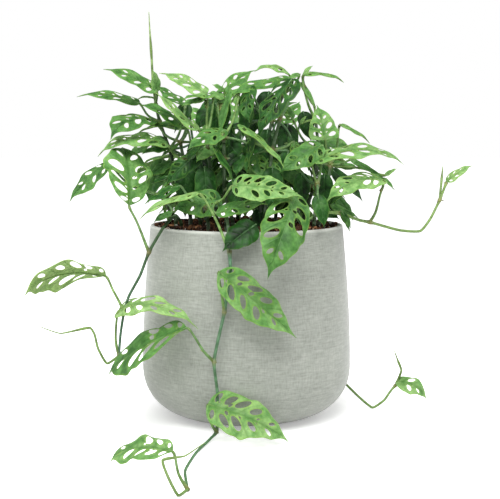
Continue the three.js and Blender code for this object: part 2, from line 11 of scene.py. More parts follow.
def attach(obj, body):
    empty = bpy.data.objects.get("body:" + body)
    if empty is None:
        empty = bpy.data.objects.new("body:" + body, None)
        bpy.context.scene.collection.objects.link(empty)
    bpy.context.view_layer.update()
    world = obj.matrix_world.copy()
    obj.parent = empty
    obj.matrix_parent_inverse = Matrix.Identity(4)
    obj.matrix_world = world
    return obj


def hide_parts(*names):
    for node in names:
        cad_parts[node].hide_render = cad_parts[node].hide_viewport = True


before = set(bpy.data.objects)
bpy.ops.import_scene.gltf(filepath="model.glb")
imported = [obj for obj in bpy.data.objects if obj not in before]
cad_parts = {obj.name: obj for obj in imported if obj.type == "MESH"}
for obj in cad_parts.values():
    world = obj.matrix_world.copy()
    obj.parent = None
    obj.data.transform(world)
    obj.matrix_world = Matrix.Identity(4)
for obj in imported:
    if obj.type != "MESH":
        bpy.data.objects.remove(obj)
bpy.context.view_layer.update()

MM = 0.001

# Planter, in millimetres
POT_HEIGHT = 201
RIM_RADIUS = 100.8
BELLY_RADIUS = 110
BELLY_HEIGHT = 52
FOOT_RADIUS = 54
FOOT_ROUNDNESS = 2.1
WALL = 4
FLOOR = 8
LIP = 1.5
LIP_STEPS = 6
WALL_STEPS = 34
FOOT_CROWDING = 1.35
INSIDE_HEIGHTS = (192, 175, 150, 115, 80, 50, 30, 16)
POT_SIDES = 128

# Soil, and the loose lumps strewn over it, which are piled up towards the wall
SOIL_LEVEL = 197
LUMP = 3
LUMP_WAVE = (7.3, 6.1)
LUMP_SWAY = (1.9, 1.3)
LUMP_SWAY_WAVE = (11.1, 9.7)
CHIPS = 2600
CHIP_SIZES = (2.2, 7.5)
PERLITE = 240
PERLITE_SIZES = (1.4, 3.4)
EDGE_ROOM = 2
CHIP_WIDTHS = (0.5, 0.9)
CHIP_DEPTHS = (0.35, 0.7)
CHIP_DENT = 0.13
CHIP_LIFT = 0.1
PILE = 3.2

# Stems, which thin out from foot to tip, kink and swell at their knots, and are tan there
STEM_FOOT = 168
STEM_MOUTH = 194
VINE_RADIUS = 1.7
STEM_RADIUS = 2.2
STEM_SIDES = 10
STEM_GIRTH = 1.05
STEM_TAPER = 0.3
ROUTE_STEP = 3.2
STEM_BEND = 0.55
SWELLING = 0.55
SWELLING_REACH = 2.6
SWELLING_TAN = 0.75
# The upright stems are dark olive, darker towards the foot: partly their own colour and partly painted shade
# inside the crown
STEM_TONES = (0.05, 0.25)
VINE_FOOT_TONE = 0.08
VINE_GREENING = 4
VINE_TIP_PALING = 0.1

# Bare young ends, with a bud on the way
SHOOT_RADIUS = 1.25
SHOOT_GIRTH = 1.05
SHOOT_TAPER = 0.8
SHOOT_SLIMMING = 2.5
BUD = 0.35
BUD_PLACE = 0.6
BUD_REACH = 0.08
SHOOT_TONES = (0.6, 0.8)
SHOOT_TAN = 0.1

# Leaf stalks, which flare at the foot, swell just below the blade and run on under it as its midrib
STALK_RADIUS = 1.25
STALK_SIDES = 8
STALK_GIRTH = 0.92
STALK_FLARE = 0.55
STALK_DROP = 0.3
STALK_SINK = 4
STALK_TONES = (0.38, 0.42)
NECK = 0.35
NECK_PLACE = 0.95
NECK_REACH = 0.05
NECK_TAN = 0.25
FOOT_TAN = 0.8
FOOT_TAN_REACH = 4
KNEE_OUT = 0.6
KNEE_UP = 0.35
RIB_RADIUS = 0.85
RIB_TIP_RADIUS = 0.16
RIB_STEP = 5
RIB_START = 0.04
RIB_RUN = 0.92
RIB_SINK = 0.75
SHEATH_PLACE = 0.3

# Spurs: the free tip of the sheath round a stalk's foot, and the stub of an air root below a knot
SHEATH_TIP = dict(lengths=(3, 5), out=0.35, along=1, radii=(1.2, 0.95, 0.6, 0.2), tone=0.75,
                  knots=(0.3, 0.3, 0.5, 0.7))
AIR_ROOT = dict(lengths=(2.5, 5), out=1, along=0.25, radii=(0.9, 0.75, 0.55, 0.25), tone=0.3,
                knots=(0.9, 0.8, 0.7, 0.6))
SPUR_SIDES = 6

# Leaf blades: thickness, grid, fold, bend and outline, with a drip tip
BLADE = 0.5
LARGE_LEAF = 70
GRIDS = ((LARGE_LEAF, 68, 30), (40, 48, 22), (0, 28, 14))
EVEN_SHARE = 0.45
FOLD = math.radians(14)
CURL = math.radians(40)
TWIST = math.radians(16)
HOOK = 0.07
HOOKS = (0.4, 1)
HEEL = 0.8
POINT = 1.3
SHOULDER = 0.07
SHOULDER_END = 0.35
LOBE = 0.07
FRAY = 0.06
FRAY_WAVE = 5
DRIP_START = 0.78
DRIP_END = 0.93
DRIP = 0.55
DRIP_SAG = 0.035
SAG_END = 1.2

# Leaf blades: veins and relief
VEIN_LEAN = 0.85
VEIN_CURVE = 0.25
LARGE_VEINS = (0, 0.11, 0.26, 0.41, 0.56, 0.72, 0.88, 1)
SMALL_VEINS = (0, 0.15, 0.37, 0.6, 0.82, 1)
FULL_RELIEF = 20
RELIEF_RISE = 12
QUILT = 0.6
QUILT_REACH = 1.1
RIB_DEPTH = 0.5
RIB_WIDTH = 0.07
WAVE = 2.2
WAVE_PACE = 2.6
WAVE_SHIFT = 1.7

# Leaf blades: large holes between the side veins, which drift a little along and across, and pinholes beside
# the midrib
HOLE_CHANCE = 0.94
HOLE_SIZES = (0.8, 1.08)
HOLE_MIDDLE = 0.5
HOLE_DRIFT = (0.01, 0.05)
HOLE_REACH = 0.29
HOLE_SHARE = 0.35
HOLE_ROUNDNESS = 0.5
HOLE_SLANT = math.radians(12)
HOLE_SLANTS = (-0.4, 1.2)
PINHOLE = 0.075
PINHOLE_CHANCE = 0.5
PINHOLE_SIZES = (0.8, 1.5)
PINHOLE_PLACES = (0.18, 0.24)
PINHOLE_ROUNDNESS = 0.55

# Small leaves strewn deep in the crown: how many, where, how large and dark, how far they hang outwards,
# stray and roll, and how far above a leaf's base the knot that it grows from may lie. Their dark tones are
# painted shade for the depth of the crown.
INNER_LEAVES = 80
INNER_CENTRE = Vector((0, 4, 262))
INNER_REACH = Vector((82, 52, 52))
INNER_SIZES = (22, 38)
INNER_WIDTHS = (0.38, 0.56)
INNER_ARCHES = (10, 50)
INNER_TONES = (0.04, 0.5)
INNER_DARKNESS = 1.4
HANG_OUT = (0.1, 0.9)
STRAY = 0.3
ROLL = 0.5
KNOT_ABOVE = 18

rng = random.Random(11)


def leaf(base, tip, face, node, tone, arch=25, wide=0.5, via=(), heel=HEEL, twist=None, holes=None):
    """One leaf: where its stalk meets the blade, its tip, the way its upper side faces, the point of the stem
    (or the place) that its stalk grows from, its tone, from deep green (0) to the yellow green of the new
    leaves (1), how many degrees it arches over, and its width over its length. The tone is partly the leaf's
    own green and partly painted light and shade: leaves in the shade of the crown get low tones as painted
    shade, and leaves that catch the light get high tones as painted light. The stalk may pass by some places.
    A small heel makes the base blunt. A twist turns the blade by some degrees from base to tip. Holes are
    left out of a leaf with 0, and thinned out with 2 or 3."""
    return dict(base=base, tip=tip, face=face, node=node, tone=tone, arch=arch, wide=wide, via=via,
                heel=heel, twist=twist, holes=holes)


def new_stem(path, leaves, small=(), foot=None, radius=STEM_RADIUS, shoots=()):
    """One stem: its path from just over the soil, its leaves, the small ones without holes that the frame's
    stem doesn't have, where it stands in the soil if not right below, its radius, and its bare young ends.
    Two more points lie below the soil's surface, so the first point given here is number 2."""
    x, y = foot or path[0][:2]
    return dict(path=[(x, y, STEM_FOOT), (x, y, STEM_MOUTH), *path], leaves=leaves,
                small=[leaf(*row, holes=0) for row in small], radius=radius, shoots=shoots)


# The grown stems, with their places in millimetres
STEMS = {}
STEMS["vine_left"] = new_stem([(-66, -44, 205), (-71, -54, 214), (-76, -61, 210), (-83, -66, 202),
        (-97, -68, 178), (-106, -66, 155), (-118, -64, 133), (-123, -63, 117), (-127, -61, 94),
        (-129, -60, 72)], [
    leaf((-117, -60, 224), (-128, -15, 283), (5, -7, 6), 6, 0.5, 60, 0.74, via=[(-109, -64, 208)],
         heel=1.4),
    leaf((-141, -60, 153), (-214, -116, 141), (-4, 5, 8), 9, 0.8, 63, 0.62,
         via=[(-128, -62, 128), (-134, -61, 139)], heel=1.1, twist=-41),
    leaf((-129, -60, 118), (-45, -114, 110), (0, -4, 9), 11, 0.72, 72, 0.36, via=[(-132, -60, 88)],
         heel=0.55, twist=30),
], radius=VINE_RADIUS, shoots=[(11, [(-141, -60, 64), (-150, -61, 80), (-153, -62, 94), (-157, -63, 101),
        (-187, -66, 96), (-208, -70, 104)])])
STEMS["vine_front"] = new_stem([(-20, -78, 209), (-19, -90, 215), (-18, -101, 210), (-16, -108, 194),
        (-16, -110, 183), (-15, -112, 166), (-21, -113, 125), (-31, -115, 77), (-28, -114, 48),
        (-28, -113, 24), (-29, -112, 7), (-35, -124, 3), (-46, -170, 3), (-53, -225, 2.6),
        (-48, -278, 2.6)], [
    leaf((9, -106, 209), (-23, -117, 184), (-2, -9, 4), 5, 0.12, 15, 0.7, holes=0),
    leaf((-45, -95, 238), (-104, -98, 214), (-4, -2, 9), 6, 0.66, 35, 0.4, via=[(-31, -103, 217)], holes=2),
    leaf((-26, -120, 165), (49, -122, 102), (4, -8, 5), 8, 0.52, 8, 0.44, via=[(-24, -116, 147)], heel=0.9),
    leaf((-56, -122, 111), (-138, -88, 59), (-9, -1, 5), 9, 0.4, 34, 0.68, via=[(-40, -119, 87)], heel=1.4,
         twist=12),
    leaf((-37, -124, 37), (42, -132, 3), (3, -6, 7), 12, 0.6, 42, 0.6),
    leaf((-61, -262, 30), (-120, -224, 10), (-3, -3, 9), 16, 0.56, 58, 0.52, heel=1.1),
], radius=VINE_RADIUS, shoots=[(16, [(-55, -292, 2), (-62, -290, 14), (-68, -284, 29), (-50, -278, 31),
        (-34, -270, 40)])])
STEMS["vine_right"] = new_stem([(60, -40, 205), (76, -45, 216), (95, -38, 215), (117, -30, 207),
        (127, -27, 205), (159, -20, 196), (181, -16, 195), (191, -14, 207), (201, -12, 227),
        (208, -10, 245)], [
    leaf((138, -50, 249), (77, -76, 227), (-1, -5, 8), 6, 0.62, 75, via=[(132, -32, 215), (135, -42, 232)]),
    leaf((84, -22, 224), (106, -20, 238), (-4, -4, 8), 4, 0.35, 10, 0.4, holes=0),
    leaf((86, -28, 223), (115, -30, 210), (3, -5, 8), 4, 0.42, 10, 0.4, holes=0),
    leaf((96, -34, 217), (106, -36, 196), (7, -5, 4), 4, 0.3, 10, 0.4, holes=0),
    leaf((208, -10, 246), (234, -12, 263), (-5, -5, 7), 11, 0.7, 20, holes=2),
], small=[
    ((97, -42, 217), (106, -46, 200), (4, -8, 3), 4, 0.3, 25, 0.4),
    ((139, -50, 251), (148, -52, 240), (5, -7, 4), (136, -44, 238), 0.45, 25, 0.35),
], radius=VINE_RADIUS, shoots=[(10, [(204, -10, 262)])])
STEMS["vine_right_rear"] = new_stem([(56, 46, 209), (65, 58, 220), (80, 74, 206), (86, 77, 170),
        (88, 80, 115), (92, 76, 62), (99, 60, 28), (110, 40, 20), (123, 20, 10), (136, 8, 2), (148, 5, 11),
        (154, 5, 20), (160, 6, 27)], [
    leaf((161, 6, 31), (193, 2, 12), (4, -6, 7), 14, 0.62, 85, 0.7, holes=2),
    leaf((92, 110, 152), (72, 126, 96), (4, 8, 3), 5, 0.35, 30),
], radius=VINE_RADIUS, shoots=[(14, [(166, 6, 43), (162, 6, 54), (158, 6, 65)])])
STEMS["stem_high_left"] = new_stem([(-60, 15, 209), (-71, 20, 238), (-82, 22, 279), (-92, 20, 308),
        (-95, 4, 326)], [
    leaf((-92, -12, 339), (-146, -20, 362), (4, -5, 7), 6, 0.45, 35, 0.44),
    leaf((-112, 12, 327), (-178, 8, 335), (1, -4, 9), 5, 0.38, 35, 0.36),
    leaf((-65, 18, 325), (-97, 45, 347), (3, -4, 9), 4, 0.35, 10),
    leaf((-56, 24, 286), (-40, 10, 238), (2, -8, 4), 4, 0.06, holes=0),
    leaf((-88, 14, 268), (-104, 8, 222), (-3, -8, 4), 3, 0.3, holes=0),
    leaf((-87, 24, 289), (-129, 30, 271), (-2, -6, 8), 4, 0.35, 30, holes=2),
], small=[
    ((-95, -5, 332), (-113, -8, 331), (0, -3, 9), 6, 0.6, 60, 0.3),
    ((-93, -10, 338), (-96, -16, 361), (5, -6, 5), 6, 0.62, 25, 0.6),
], shoots=[(6, [(-97, -5, 351), (-98, -3, 371), (-100, 0, 402), (-101, 2, 421)])])
STEMS["stem_mid_left"] = new_stem([(-48, -8, 205), (-59, -10, 237), (-65, -8, 268), (-69, -6, 287)], [
    leaf((-60, -18, 302), (-109, -28, 326), (5, -4, 8), 5, 0.34, 30),
    leaf((-93, 5, 305), (-137, -48, 290), (-3, -7, 7), 5, 0.34, 85, 0.62, heel=1.3),
    leaf((-63, 0, 306), (-104, 3, 303), (-1, -3, 9), 5, 0.28, 15, 0.42, holes=2),
    leaf((-80, -22, 283), (-153, -28, 273), (-1, -4, 9), 4, 0.58, 85, 0.44),
    leaf((-78, 5, 266), (-104, -4, 249), (-3, -6, 7), 4, 0.3, 25, 0.55, holes=0),
    leaf((-48, -14, 270), (-76, -22, 246), (-3, -7, 6), 4, 0.12, holes=0),
], small=[
    ((-62, -20, 262), (-64, -30, 214), (0, -9, 3), 3, 0.15),
    ((-79, -12, 283), (-108, -18, 275), (-1, -5, 8), 4, 0.28),
])
STEMS["stem_centre_left"] = new_stem([(-30, -35, 205), (-35, -40, 249), (-39, -40, 279), (-40, -38, 294)], [
    leaf((-48, -38, 299), (-91, -46, 338), (7, -3, 6), 5, 0.68, -12, 0.42, holes=2),
    leaf((-40, -36, 335), (-89, -20, 358), (4, -5, 7), 5, 0.66, 25, 0.48),
    leaf((-34, -35, 333), (-63, -60, 330), (1, -2, 10), 5, 0.52, 20, 0.4, holes=2),
    leaf((-55, -45, 271), (-81, -48, 244), (-2, -9, 3), 4, 0.16, 20, 0.55),
], small=[
    ((-42, -50, 262), (-38, -58, 216), (0, -9, 3), 3, 0.2),
    ((-42, -38, 331), (-65, -46, 323), (-1, -5, 8), (-40, -36, 322), 0.45),
])
STEMS["stem_centre"] = new_stem([(-14, -34, 205), (-22, -44, 239), (-22, -47, 270), (-23, -48, 292)], [
    leaf((-29, -10, 327), (10, 17, 363), (-3, -5, 8), 5, 0.46, 40, 0.55),
    leaf((-21, -58, 299), (-58, -85, 280), (0, -6, 8), 5, 0.36, 20),
    leaf((-32, -66, 284), (-11, -84, 242), (9, -2, 5), 4, 0.26, 20, 0.42, holes=2),
    leaf((-15, -31, 306), (-19, -38, 250), (-4, -9, 2), 5, 0.08, 30),
], small=[
    ((-12, -52, 250), (-6, -60, 210), (0, -9, 3), 3, 0.12),
    ((-25, 9, 331), (-22, 3, 298), (1, -8, 5), 5, 0.3),
    ((-8, -18, 338), (-16, -20, 326), (-7, -5, 5), 5, 0.7, 10, 0.4),
    ((-23, -12, 333), (-40, -16, 337), (-1, -6, 7), (-27, -14, 319), 0.55, 30, 0.7),
    ((-23, -8, 340), (-35, -12, 346), (-1, -6, 7), (-27, -12, 322), 0.6, 30, 0.6),
    ((-16, -18, 340), (-27, -34, 291), (-9, -6, 4), (-27, -12, 322), 0.42, 25, 0.3),
    ((-32, 12, 327), (-34, 6, 289), (1, -9, 3), (-27, -12, 322), 0.2, 20),
])
STEMS["stem_centre_back"] = new_stem([(14, -6, 205), (16, -12, 248), (20, -10, 279), (27, -6, 310),
        (39, -3, 337)], [
    leaf((46, 8, 355), (8, -4, 360), (1, -3, 9), 6, 0.62, 85, 0.6, holes=2),
    leaf((46, -15, 352), (-18, -22, 334), (-2, -5, 9), 6, 0.42, 20, 0.42),
    leaf((4, -20, 343), (3, -45, 306), (-6, -7, 5), 5, 0.22, 40),
    leaf((35, -10, 324), (52, -8, 328), (-1, -5, 8), 5, 0.4, 0, 0.35, holes=0),
    leaf((30, 4, 268), (64, -14, 234), (3, -7, 6), 3, 0.32, holes=0),
    leaf((8, 8, 262), (-16, 2, 222), (-2, -8, 5), 3, 0.12, holes=0),
    leaf((22, -22, 300), (14, -30, 252), (0, -9, 3), 4, 0.12, holes=0),
], small=[
    ((55, -4, 357), (42, -8, 352), (-1, -6, 7), 6, 0.5, 20),
    ((1, -4, 339), (-4, -18, 287), (5, -8, 3), 5, 0.26, 25, 0.36),
])
STEMS["stem_centre_front"] = new_stem([(18, -50, 205), (22, -52, 249), (26, -50, 279), (34, -44, 311)], [
    leaf((46, -45, 350), (11, -62, 291), (-6, -6, 6), 5, 0.18, 30, 0.62, heel=0.55),
    leaf((-6, -60, 304), (38, -88, 263), (6, -2, 8), 4, 0.54, 20, 0.42, heel=0.55),
    leaf((6, -55, 294), (0, -62, 254), (-9, -5, 2), 4, 0.22, 20, 0.4, heel=0.55, holes=2),
], small=[
    ((26, -64, 262), (24, -72, 216), (0, -9, 3), 3, 0.12),
])
STEMS["stem_front_right"] = new_stem([(45, -80, 208), (50, -98, 227)], [
    leaf((48, -112, 239), (20, -150, 161), (3, -5, 7), 3, 0.4, 38, heel=0.95),
], foot=(45, -79))
STEMS["stem_front_left"] = new_stem([(-38, -62, 205), (-40, -70, 224)], [
    leaf((-13, -106, 246), (54, -126, 237), (-2, -8, 6), 3, 0.6, 42, 0.42),
    leaf((-24, -80, 231), (-73, -86, 222), (0, -9, 5), 3, 0.34, 10, 0.62),
    leaf((-29, -98, 219), (21, -104, 229), (-2, -5, 8), 3, 0.4, 20, 0.48),
    leaf((-66, -60, 244), (-102, -62, 226), (-4, -5, 8), 3, 0.26, 20, 0.45, holes=2),
])
STEMS["stem_low_left"] = new_stem([(-74, -8, 206), (-89, -15, 232)], [
    leaf((-81, -20, 252), (-99, -22, 244), (-3, -5, 8), 3, 0.2, 10, 0.4, holes=0),
    leaf((-142, -21, 264), (-183, -24, 226), (-5, -6, 6), 3, 0.36, 30, 0.54),
], small=[
    ((-74, -66, 218), (-92, -70, 208), (-2, -6, 7), 3, 0.25),
])
STEMS["stem_high_right"] = new_stem([(62, 20, 209), (71, 18, 238), (76, 16, 278), (73, 14, 310)], [
    leaf((59, 0, 356), (102, 2, 349), (2, -2, 10), 5, 0.5, 50),
    leaf((72, 13, 323), (54, 8, 350), (8, -3, 5), 5, 0.6, 10, 0.3, holes=0),
    leaf((49, 15, 311), (36, 15, 327), (4, -8, 4), 4, 0.42, 10, 0.7, holes=2),
    leaf((90, 20, 258), (124, 12, 224), (4, -6, 7), 3, 0.15, 30, holes=0),
    leaf((80, 24, 289), (112, 18, 279), (2, -7, 6), 4, 0.5, holes=0),
    leaf((76, 28, 236), (106, 26, 210), (3, -7, 5), 3, 0.22, holes=0),
], small=[
    ((76, 2, 288), (86, -4, 244), (2, -8, 4), 4, 0.25),
    ((57, 10, 306), (63, 10, 314), (-7, -5, 5), 5, 0.7, 40, 0.6),
    ((59, 6, 355), (69, 4, 366), (-3, -6, 6), (61, 3, 344), 0.6, 40),
    ((57, 4, 349), (73, 2, 323), (5, -8, 3), (61, 3, 340), 0.5, 15, 0.22),
])
STEMS["stem_right"] = new_stem([(76, -8, 205), (83, -12, 237), (87, -14, 263)], [
    leaf((81, -22, 289), (73, -4, 326), (2, -8, 5), 4, 0.56, 20, 0.8, heel=0.4),
    leaf((98, 0, 305), (129, -4, 286), (5, -3, 8), 4, 0.5, 30, 0.35, holes=2),
    leaf((88, -10, 265), (118, -10, 259), (2, -6, 8), 4, 0.4, 10, 0.45, holes=0),
    leaf((94, -4, 230), (112, -8, 205), (4, -7, 5), 3, 0.3, holes=0),
    leaf((109, -20, 270), (154, -22, 238), (5, -4, 7), 4, 0.5, 10, 0.16, heel=0.55, holes=0),
    leaf((143, -20, 253), (155, -20, 260), (-4, -5, 7), 4, 0.6, 10, holes=0),
], small=[
    ((80, -26, 254), (78, -34, 214), (0, -9, 3), 3, 0.15),
    ((78, -30, 218), (95, -36, 209), (2, -7, 6), 3, 0.25, 20, 0.6),
    ((106, -30, 269), (140, -34, 252), (2, -8, 4), 4, 0.4, 15, 0.18),
])
STEMS["stem_right_front"] = new_stem([(68, -58, 205), (71, -60, 245)], [
    leaf((66, -60, 267), (159, -50, 266), (0, -4, 9), 3, 0.6, 68, 0.35),
    leaf((76, -55, 284), (32, -70, 257), (0, -8, 5), 3, 0.4, 20, 0.52),
    leaf((70, -82, 236), (76, -90, 204), (1, -9, 3), 3, 0.24, holes=0),
], small=[
    ((56, -34, 256), (58, -42, 220), (0, -9, 3), 3, 0.12),
])
STEMS["stem_back_left"] = new_stem([(-45, 48, 205), (-50, 54, 240), (-52, 56, 270)], [
    leaf((-72, 62, 272), (-128, 92, 246), (-4, 3, 9), 4, 0.5, 45, holes=3),
    leaf((-58, 72, 246), (-92, 110, 190), (-6, 7, 4), 3, 0.4, 35, holes=3),
    leaf((-44, 70, 296), (-62, 108, 326), (2, -5, 8), 4, 0.5, 35),
    leaf((-64, 44, 300), (-120, 48, 296), (0, 1, 10), 4, 0.45, 50, 0.45),
    leaf((-62, 42, 266), (-104, 36, 238), (-3, -6, 7), 3, 0.2, 30, holes=0),
    leaf((-34, 35, 331), (-54, 28, 297), (-2, -8, 5), 4, 0.14, 25, 0.55, holes=0),
    leaf((-63, 40, 328), (-78, 34, 296), (-2, -8, 5), 4, 0.14, 25, 0.55, holes=0),
    leaf((-56, 74, 226), (-100, 84, 206), (-2, 4, 9), 3, 0.3, 40, holes=0),
], small=[
    ((-38, 30, 246), (-32, 16, 206), (0, -9, 3), 3, 0.16, 20, 0.55),
    ((-60, 34, 240), (-66, 22, 205), (-2, -9, 3), 3, 0.2, 20),
])
STEMS["stem_back_centre"] = new_stem([(-10, 66, 205), (-12, 70, 240), (-12, 70, 272)], [
    leaf((-20, 88, 262), (-42, 142, 222), (-1, 7, 7), 3, 0.5, 45, holes=3),
    leaf((0, 84, 286), (16, 138, 274), (0, 2, 10), 4, 0.55, 50),
    leaf((-14, 72, 300), (-8, 104, 342), (0, -6, 6), 4, 0.45, 30),
    leaf((6, 84, 232), (14, 124, 176), (1, 9, 4), 3, 0.4, 30, holes=3),
    leaf((-4, 50, 284), (-10, 24, 232), (0, -8, 5), 4, 0.14, 25, 0.46, holes=0),
    leaf((-20, 52, 298), (-45, 36, 264), (-3, -7, 6), 4, 0.2, holes=0),
    leaf((8, 46, 319), (-1, 40, 285), (0, -8, 5), 4, 0.12, 25, 0.55, heel=0.55, holes=0),
    leaf((-24, 90, 236), (-60, 118, 184), (-4, 8, 5), 3, 0.3, 30, holes=0),
], small=[
    ((-12, 44, 246), (-8, 30, 204), (0, -9, 3), 3, 0.12, 25, 0.55),
    ((12, 42, 240), (18, 28, 203), (1, -9, 3), 3, 0.16, 20, 0.55),
])
STEMS["stem_back_right"] = new_stem([(32, 56, 205), (38, 60, 240), (40, 60, 272)], [
    leaf((62, 62, 278), (118, 82, 256), (3, 3, 9), 4, 0.55, 45, holes=3),
    leaf((50, 80, 254), (86, 124, 214), (5, 7, 6), 3, 0.45, 45, holes=3),
    leaf((40, 66, 300), (60, 98, 332), (-2, -5, 8), 4, 0.45, 30),
    leaf((54, 48, 250), (108, 40, 226), (3, -2, 9), 3, 0.5, 40, 0.42),
    leaf((44, 38, 306), (42, 16, 256), (1, -8, 5), 4, 0.12, 25, 0.46, holes=0),
    leaf((58, 44, 286), (88, 32, 248), (3, -7, 6), 4, 0.16, holes=0),
    leaf((24, 30, 340), (12, 22, 293), (-1, -8, 5), 4, 0.12, holes=0),
    leaf((61, 44, 319), (70, 38, 287), (1, -8, 5), 4, 0.12, 25, 0.55, holes=0),
    leaf((46, 84, 224), (76, 112, 172), (5, 8, 4), 3, 0.35, 30, holes=0),
], small=[
    ((36, 36, 246), (38, 22, 204), (0, -9, 3), 3, 0.14, 20, 0.55),
    ((58, 32, 240), (62, 20, 205), (2, -9, 3), 3, 0.18, 20),
])


# ---- meshes ----
def new_object(name, data):
    """Puts a mesh, a lamp or the camera into the scene."""
    made = bpy.data.objects.new(name, data)
    bpy.context.scene.collection.objects.link(made)
    return made


def finish_piece(name, bm, materials, slot, *nodes):
    """Makes the object of a finished mesh that was worked in millimetres, and seats it in the frame."""
    bm.transform(Matrix.Scale(MM, 4))
    mesh = bpy.data.meshes.new(name)
    bm.to_mesh(mesh)
    bm.free()
    mesh.shade_smooth()
    piece = new_object(name, mesh)
    for material in materials:
        mesh.materials.append(material)
    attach(piece, "root")
    if nodes:
        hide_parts(*nodes)
    return piece


def layered(*floats):
    """An empty mesh with number layers of these names on its points."""
    bm = bmesh.new()
    for name in floats:
        bm.verts.layers.float.new(name)
    return bm


def smooth_route(points, bend=1):
    """Points along the smooth curve through the given ones, and the place in that list of each given one.
    A small bend keeps the runs straight and turns them sharply at the given points."""
    route, places = [], []
    for i, (start, end) in enumerate(zip(points, points[1:])):
        before = points[i - 1] if i else 2 * start - end
        after = points[i + 2] if i + 2 < len(points) else 2 * end - start
        gap_0, gap_1, gap_2 = (math.sqrt((b - a).length)
                               for a, b in ((before, start), (start, end), (end, after)))
        leave = (start - before) / gap_0 - (end - before) / (gap_0 + gap_1) + (end - start) / gap_1
        arrive = (end - start) / gap_1 - (after - start) / (gap_1 + gap_2) + (after - end) / gap_2
        count = max(2, round((end - start).length / ROUTE_STEP))
        places.append(len(route))
        reach = bend * gap_1 / 3
        route += interpolate_bezier(start, start + leave * reach, end - arrive * reach, end, count + 1)[:-1]
    places.append(len(route))
    route.append(points[-1].copy())
    return route, places


def tube(bm, route, radii, tones, knots, sides):
    """A closed round tube along the route, with its radius, tone and knottiness at each point."""
    tone = bm.verts.layers.float["tone"]
    knot = bm.verts.layers.float["knot"]
    made = bmesh.ops.create_circle(bm, cap_ends=True, segments=sides, radius=1)
    face = made["verts"][0].link_faces[0]
    centre, turn, radius = Vector(), Matrix.Identity(3), 1
    ahead = Vector((0, 0, 1))
    for i, place in enumerate(route):
        if i:
            grown = bmesh.ops.extrude_face_region(bm, geom=[face])
            face = next(part for part in grown["geom"] if isinstance(part, bmesh.types.BMFace))
        heading = (route[min(i + 1, len(route) - 1)] - route[max(i - 1, 0)]).normalized()
        onward = ahead.rotation_difference(heading).to_matrix() @ turn
        for vert in face.verts:
            flat = turn.transposed() @ (vert.co - centre) / radius
            vert.co = place + onward @ flat * radii[i]
            vert[tone], vert[knot] = tones[i], knots[i]
        centre, turn, radius, ahead = place, onward, radii[i], heading


# ---- leaf blades ----
# q runs from the stalk (0) to the tip (1), and t from the midrib (0) to either edge (1 or -1).
# Lines of one q are the side veins, which slant towards the tip as they go out.
def ease(value, start, end):
    """Rises smoothly from 0 to 1 between start and end."""
    share = min(1, max(0, (value - start) / (end - start)))
    return share * share * (3 - 2 * share)


def bump(distance, reach):
    """A round swelling of height 1 that fades out beyond its reach."""
    return math.exp(-(distance / reach) ** 2)


def edge_width(q, heel):
    """The width of a blade on a line, over its greatest width."""
    widest = heel / (heel + POINT)
    width = (q ** heel * (1 - q) ** POINT) / (widest ** heel * (1 - widest) ** POINT)
    return width * (1 - DRIP * ease(q, DRIP_START, DRIP_END))


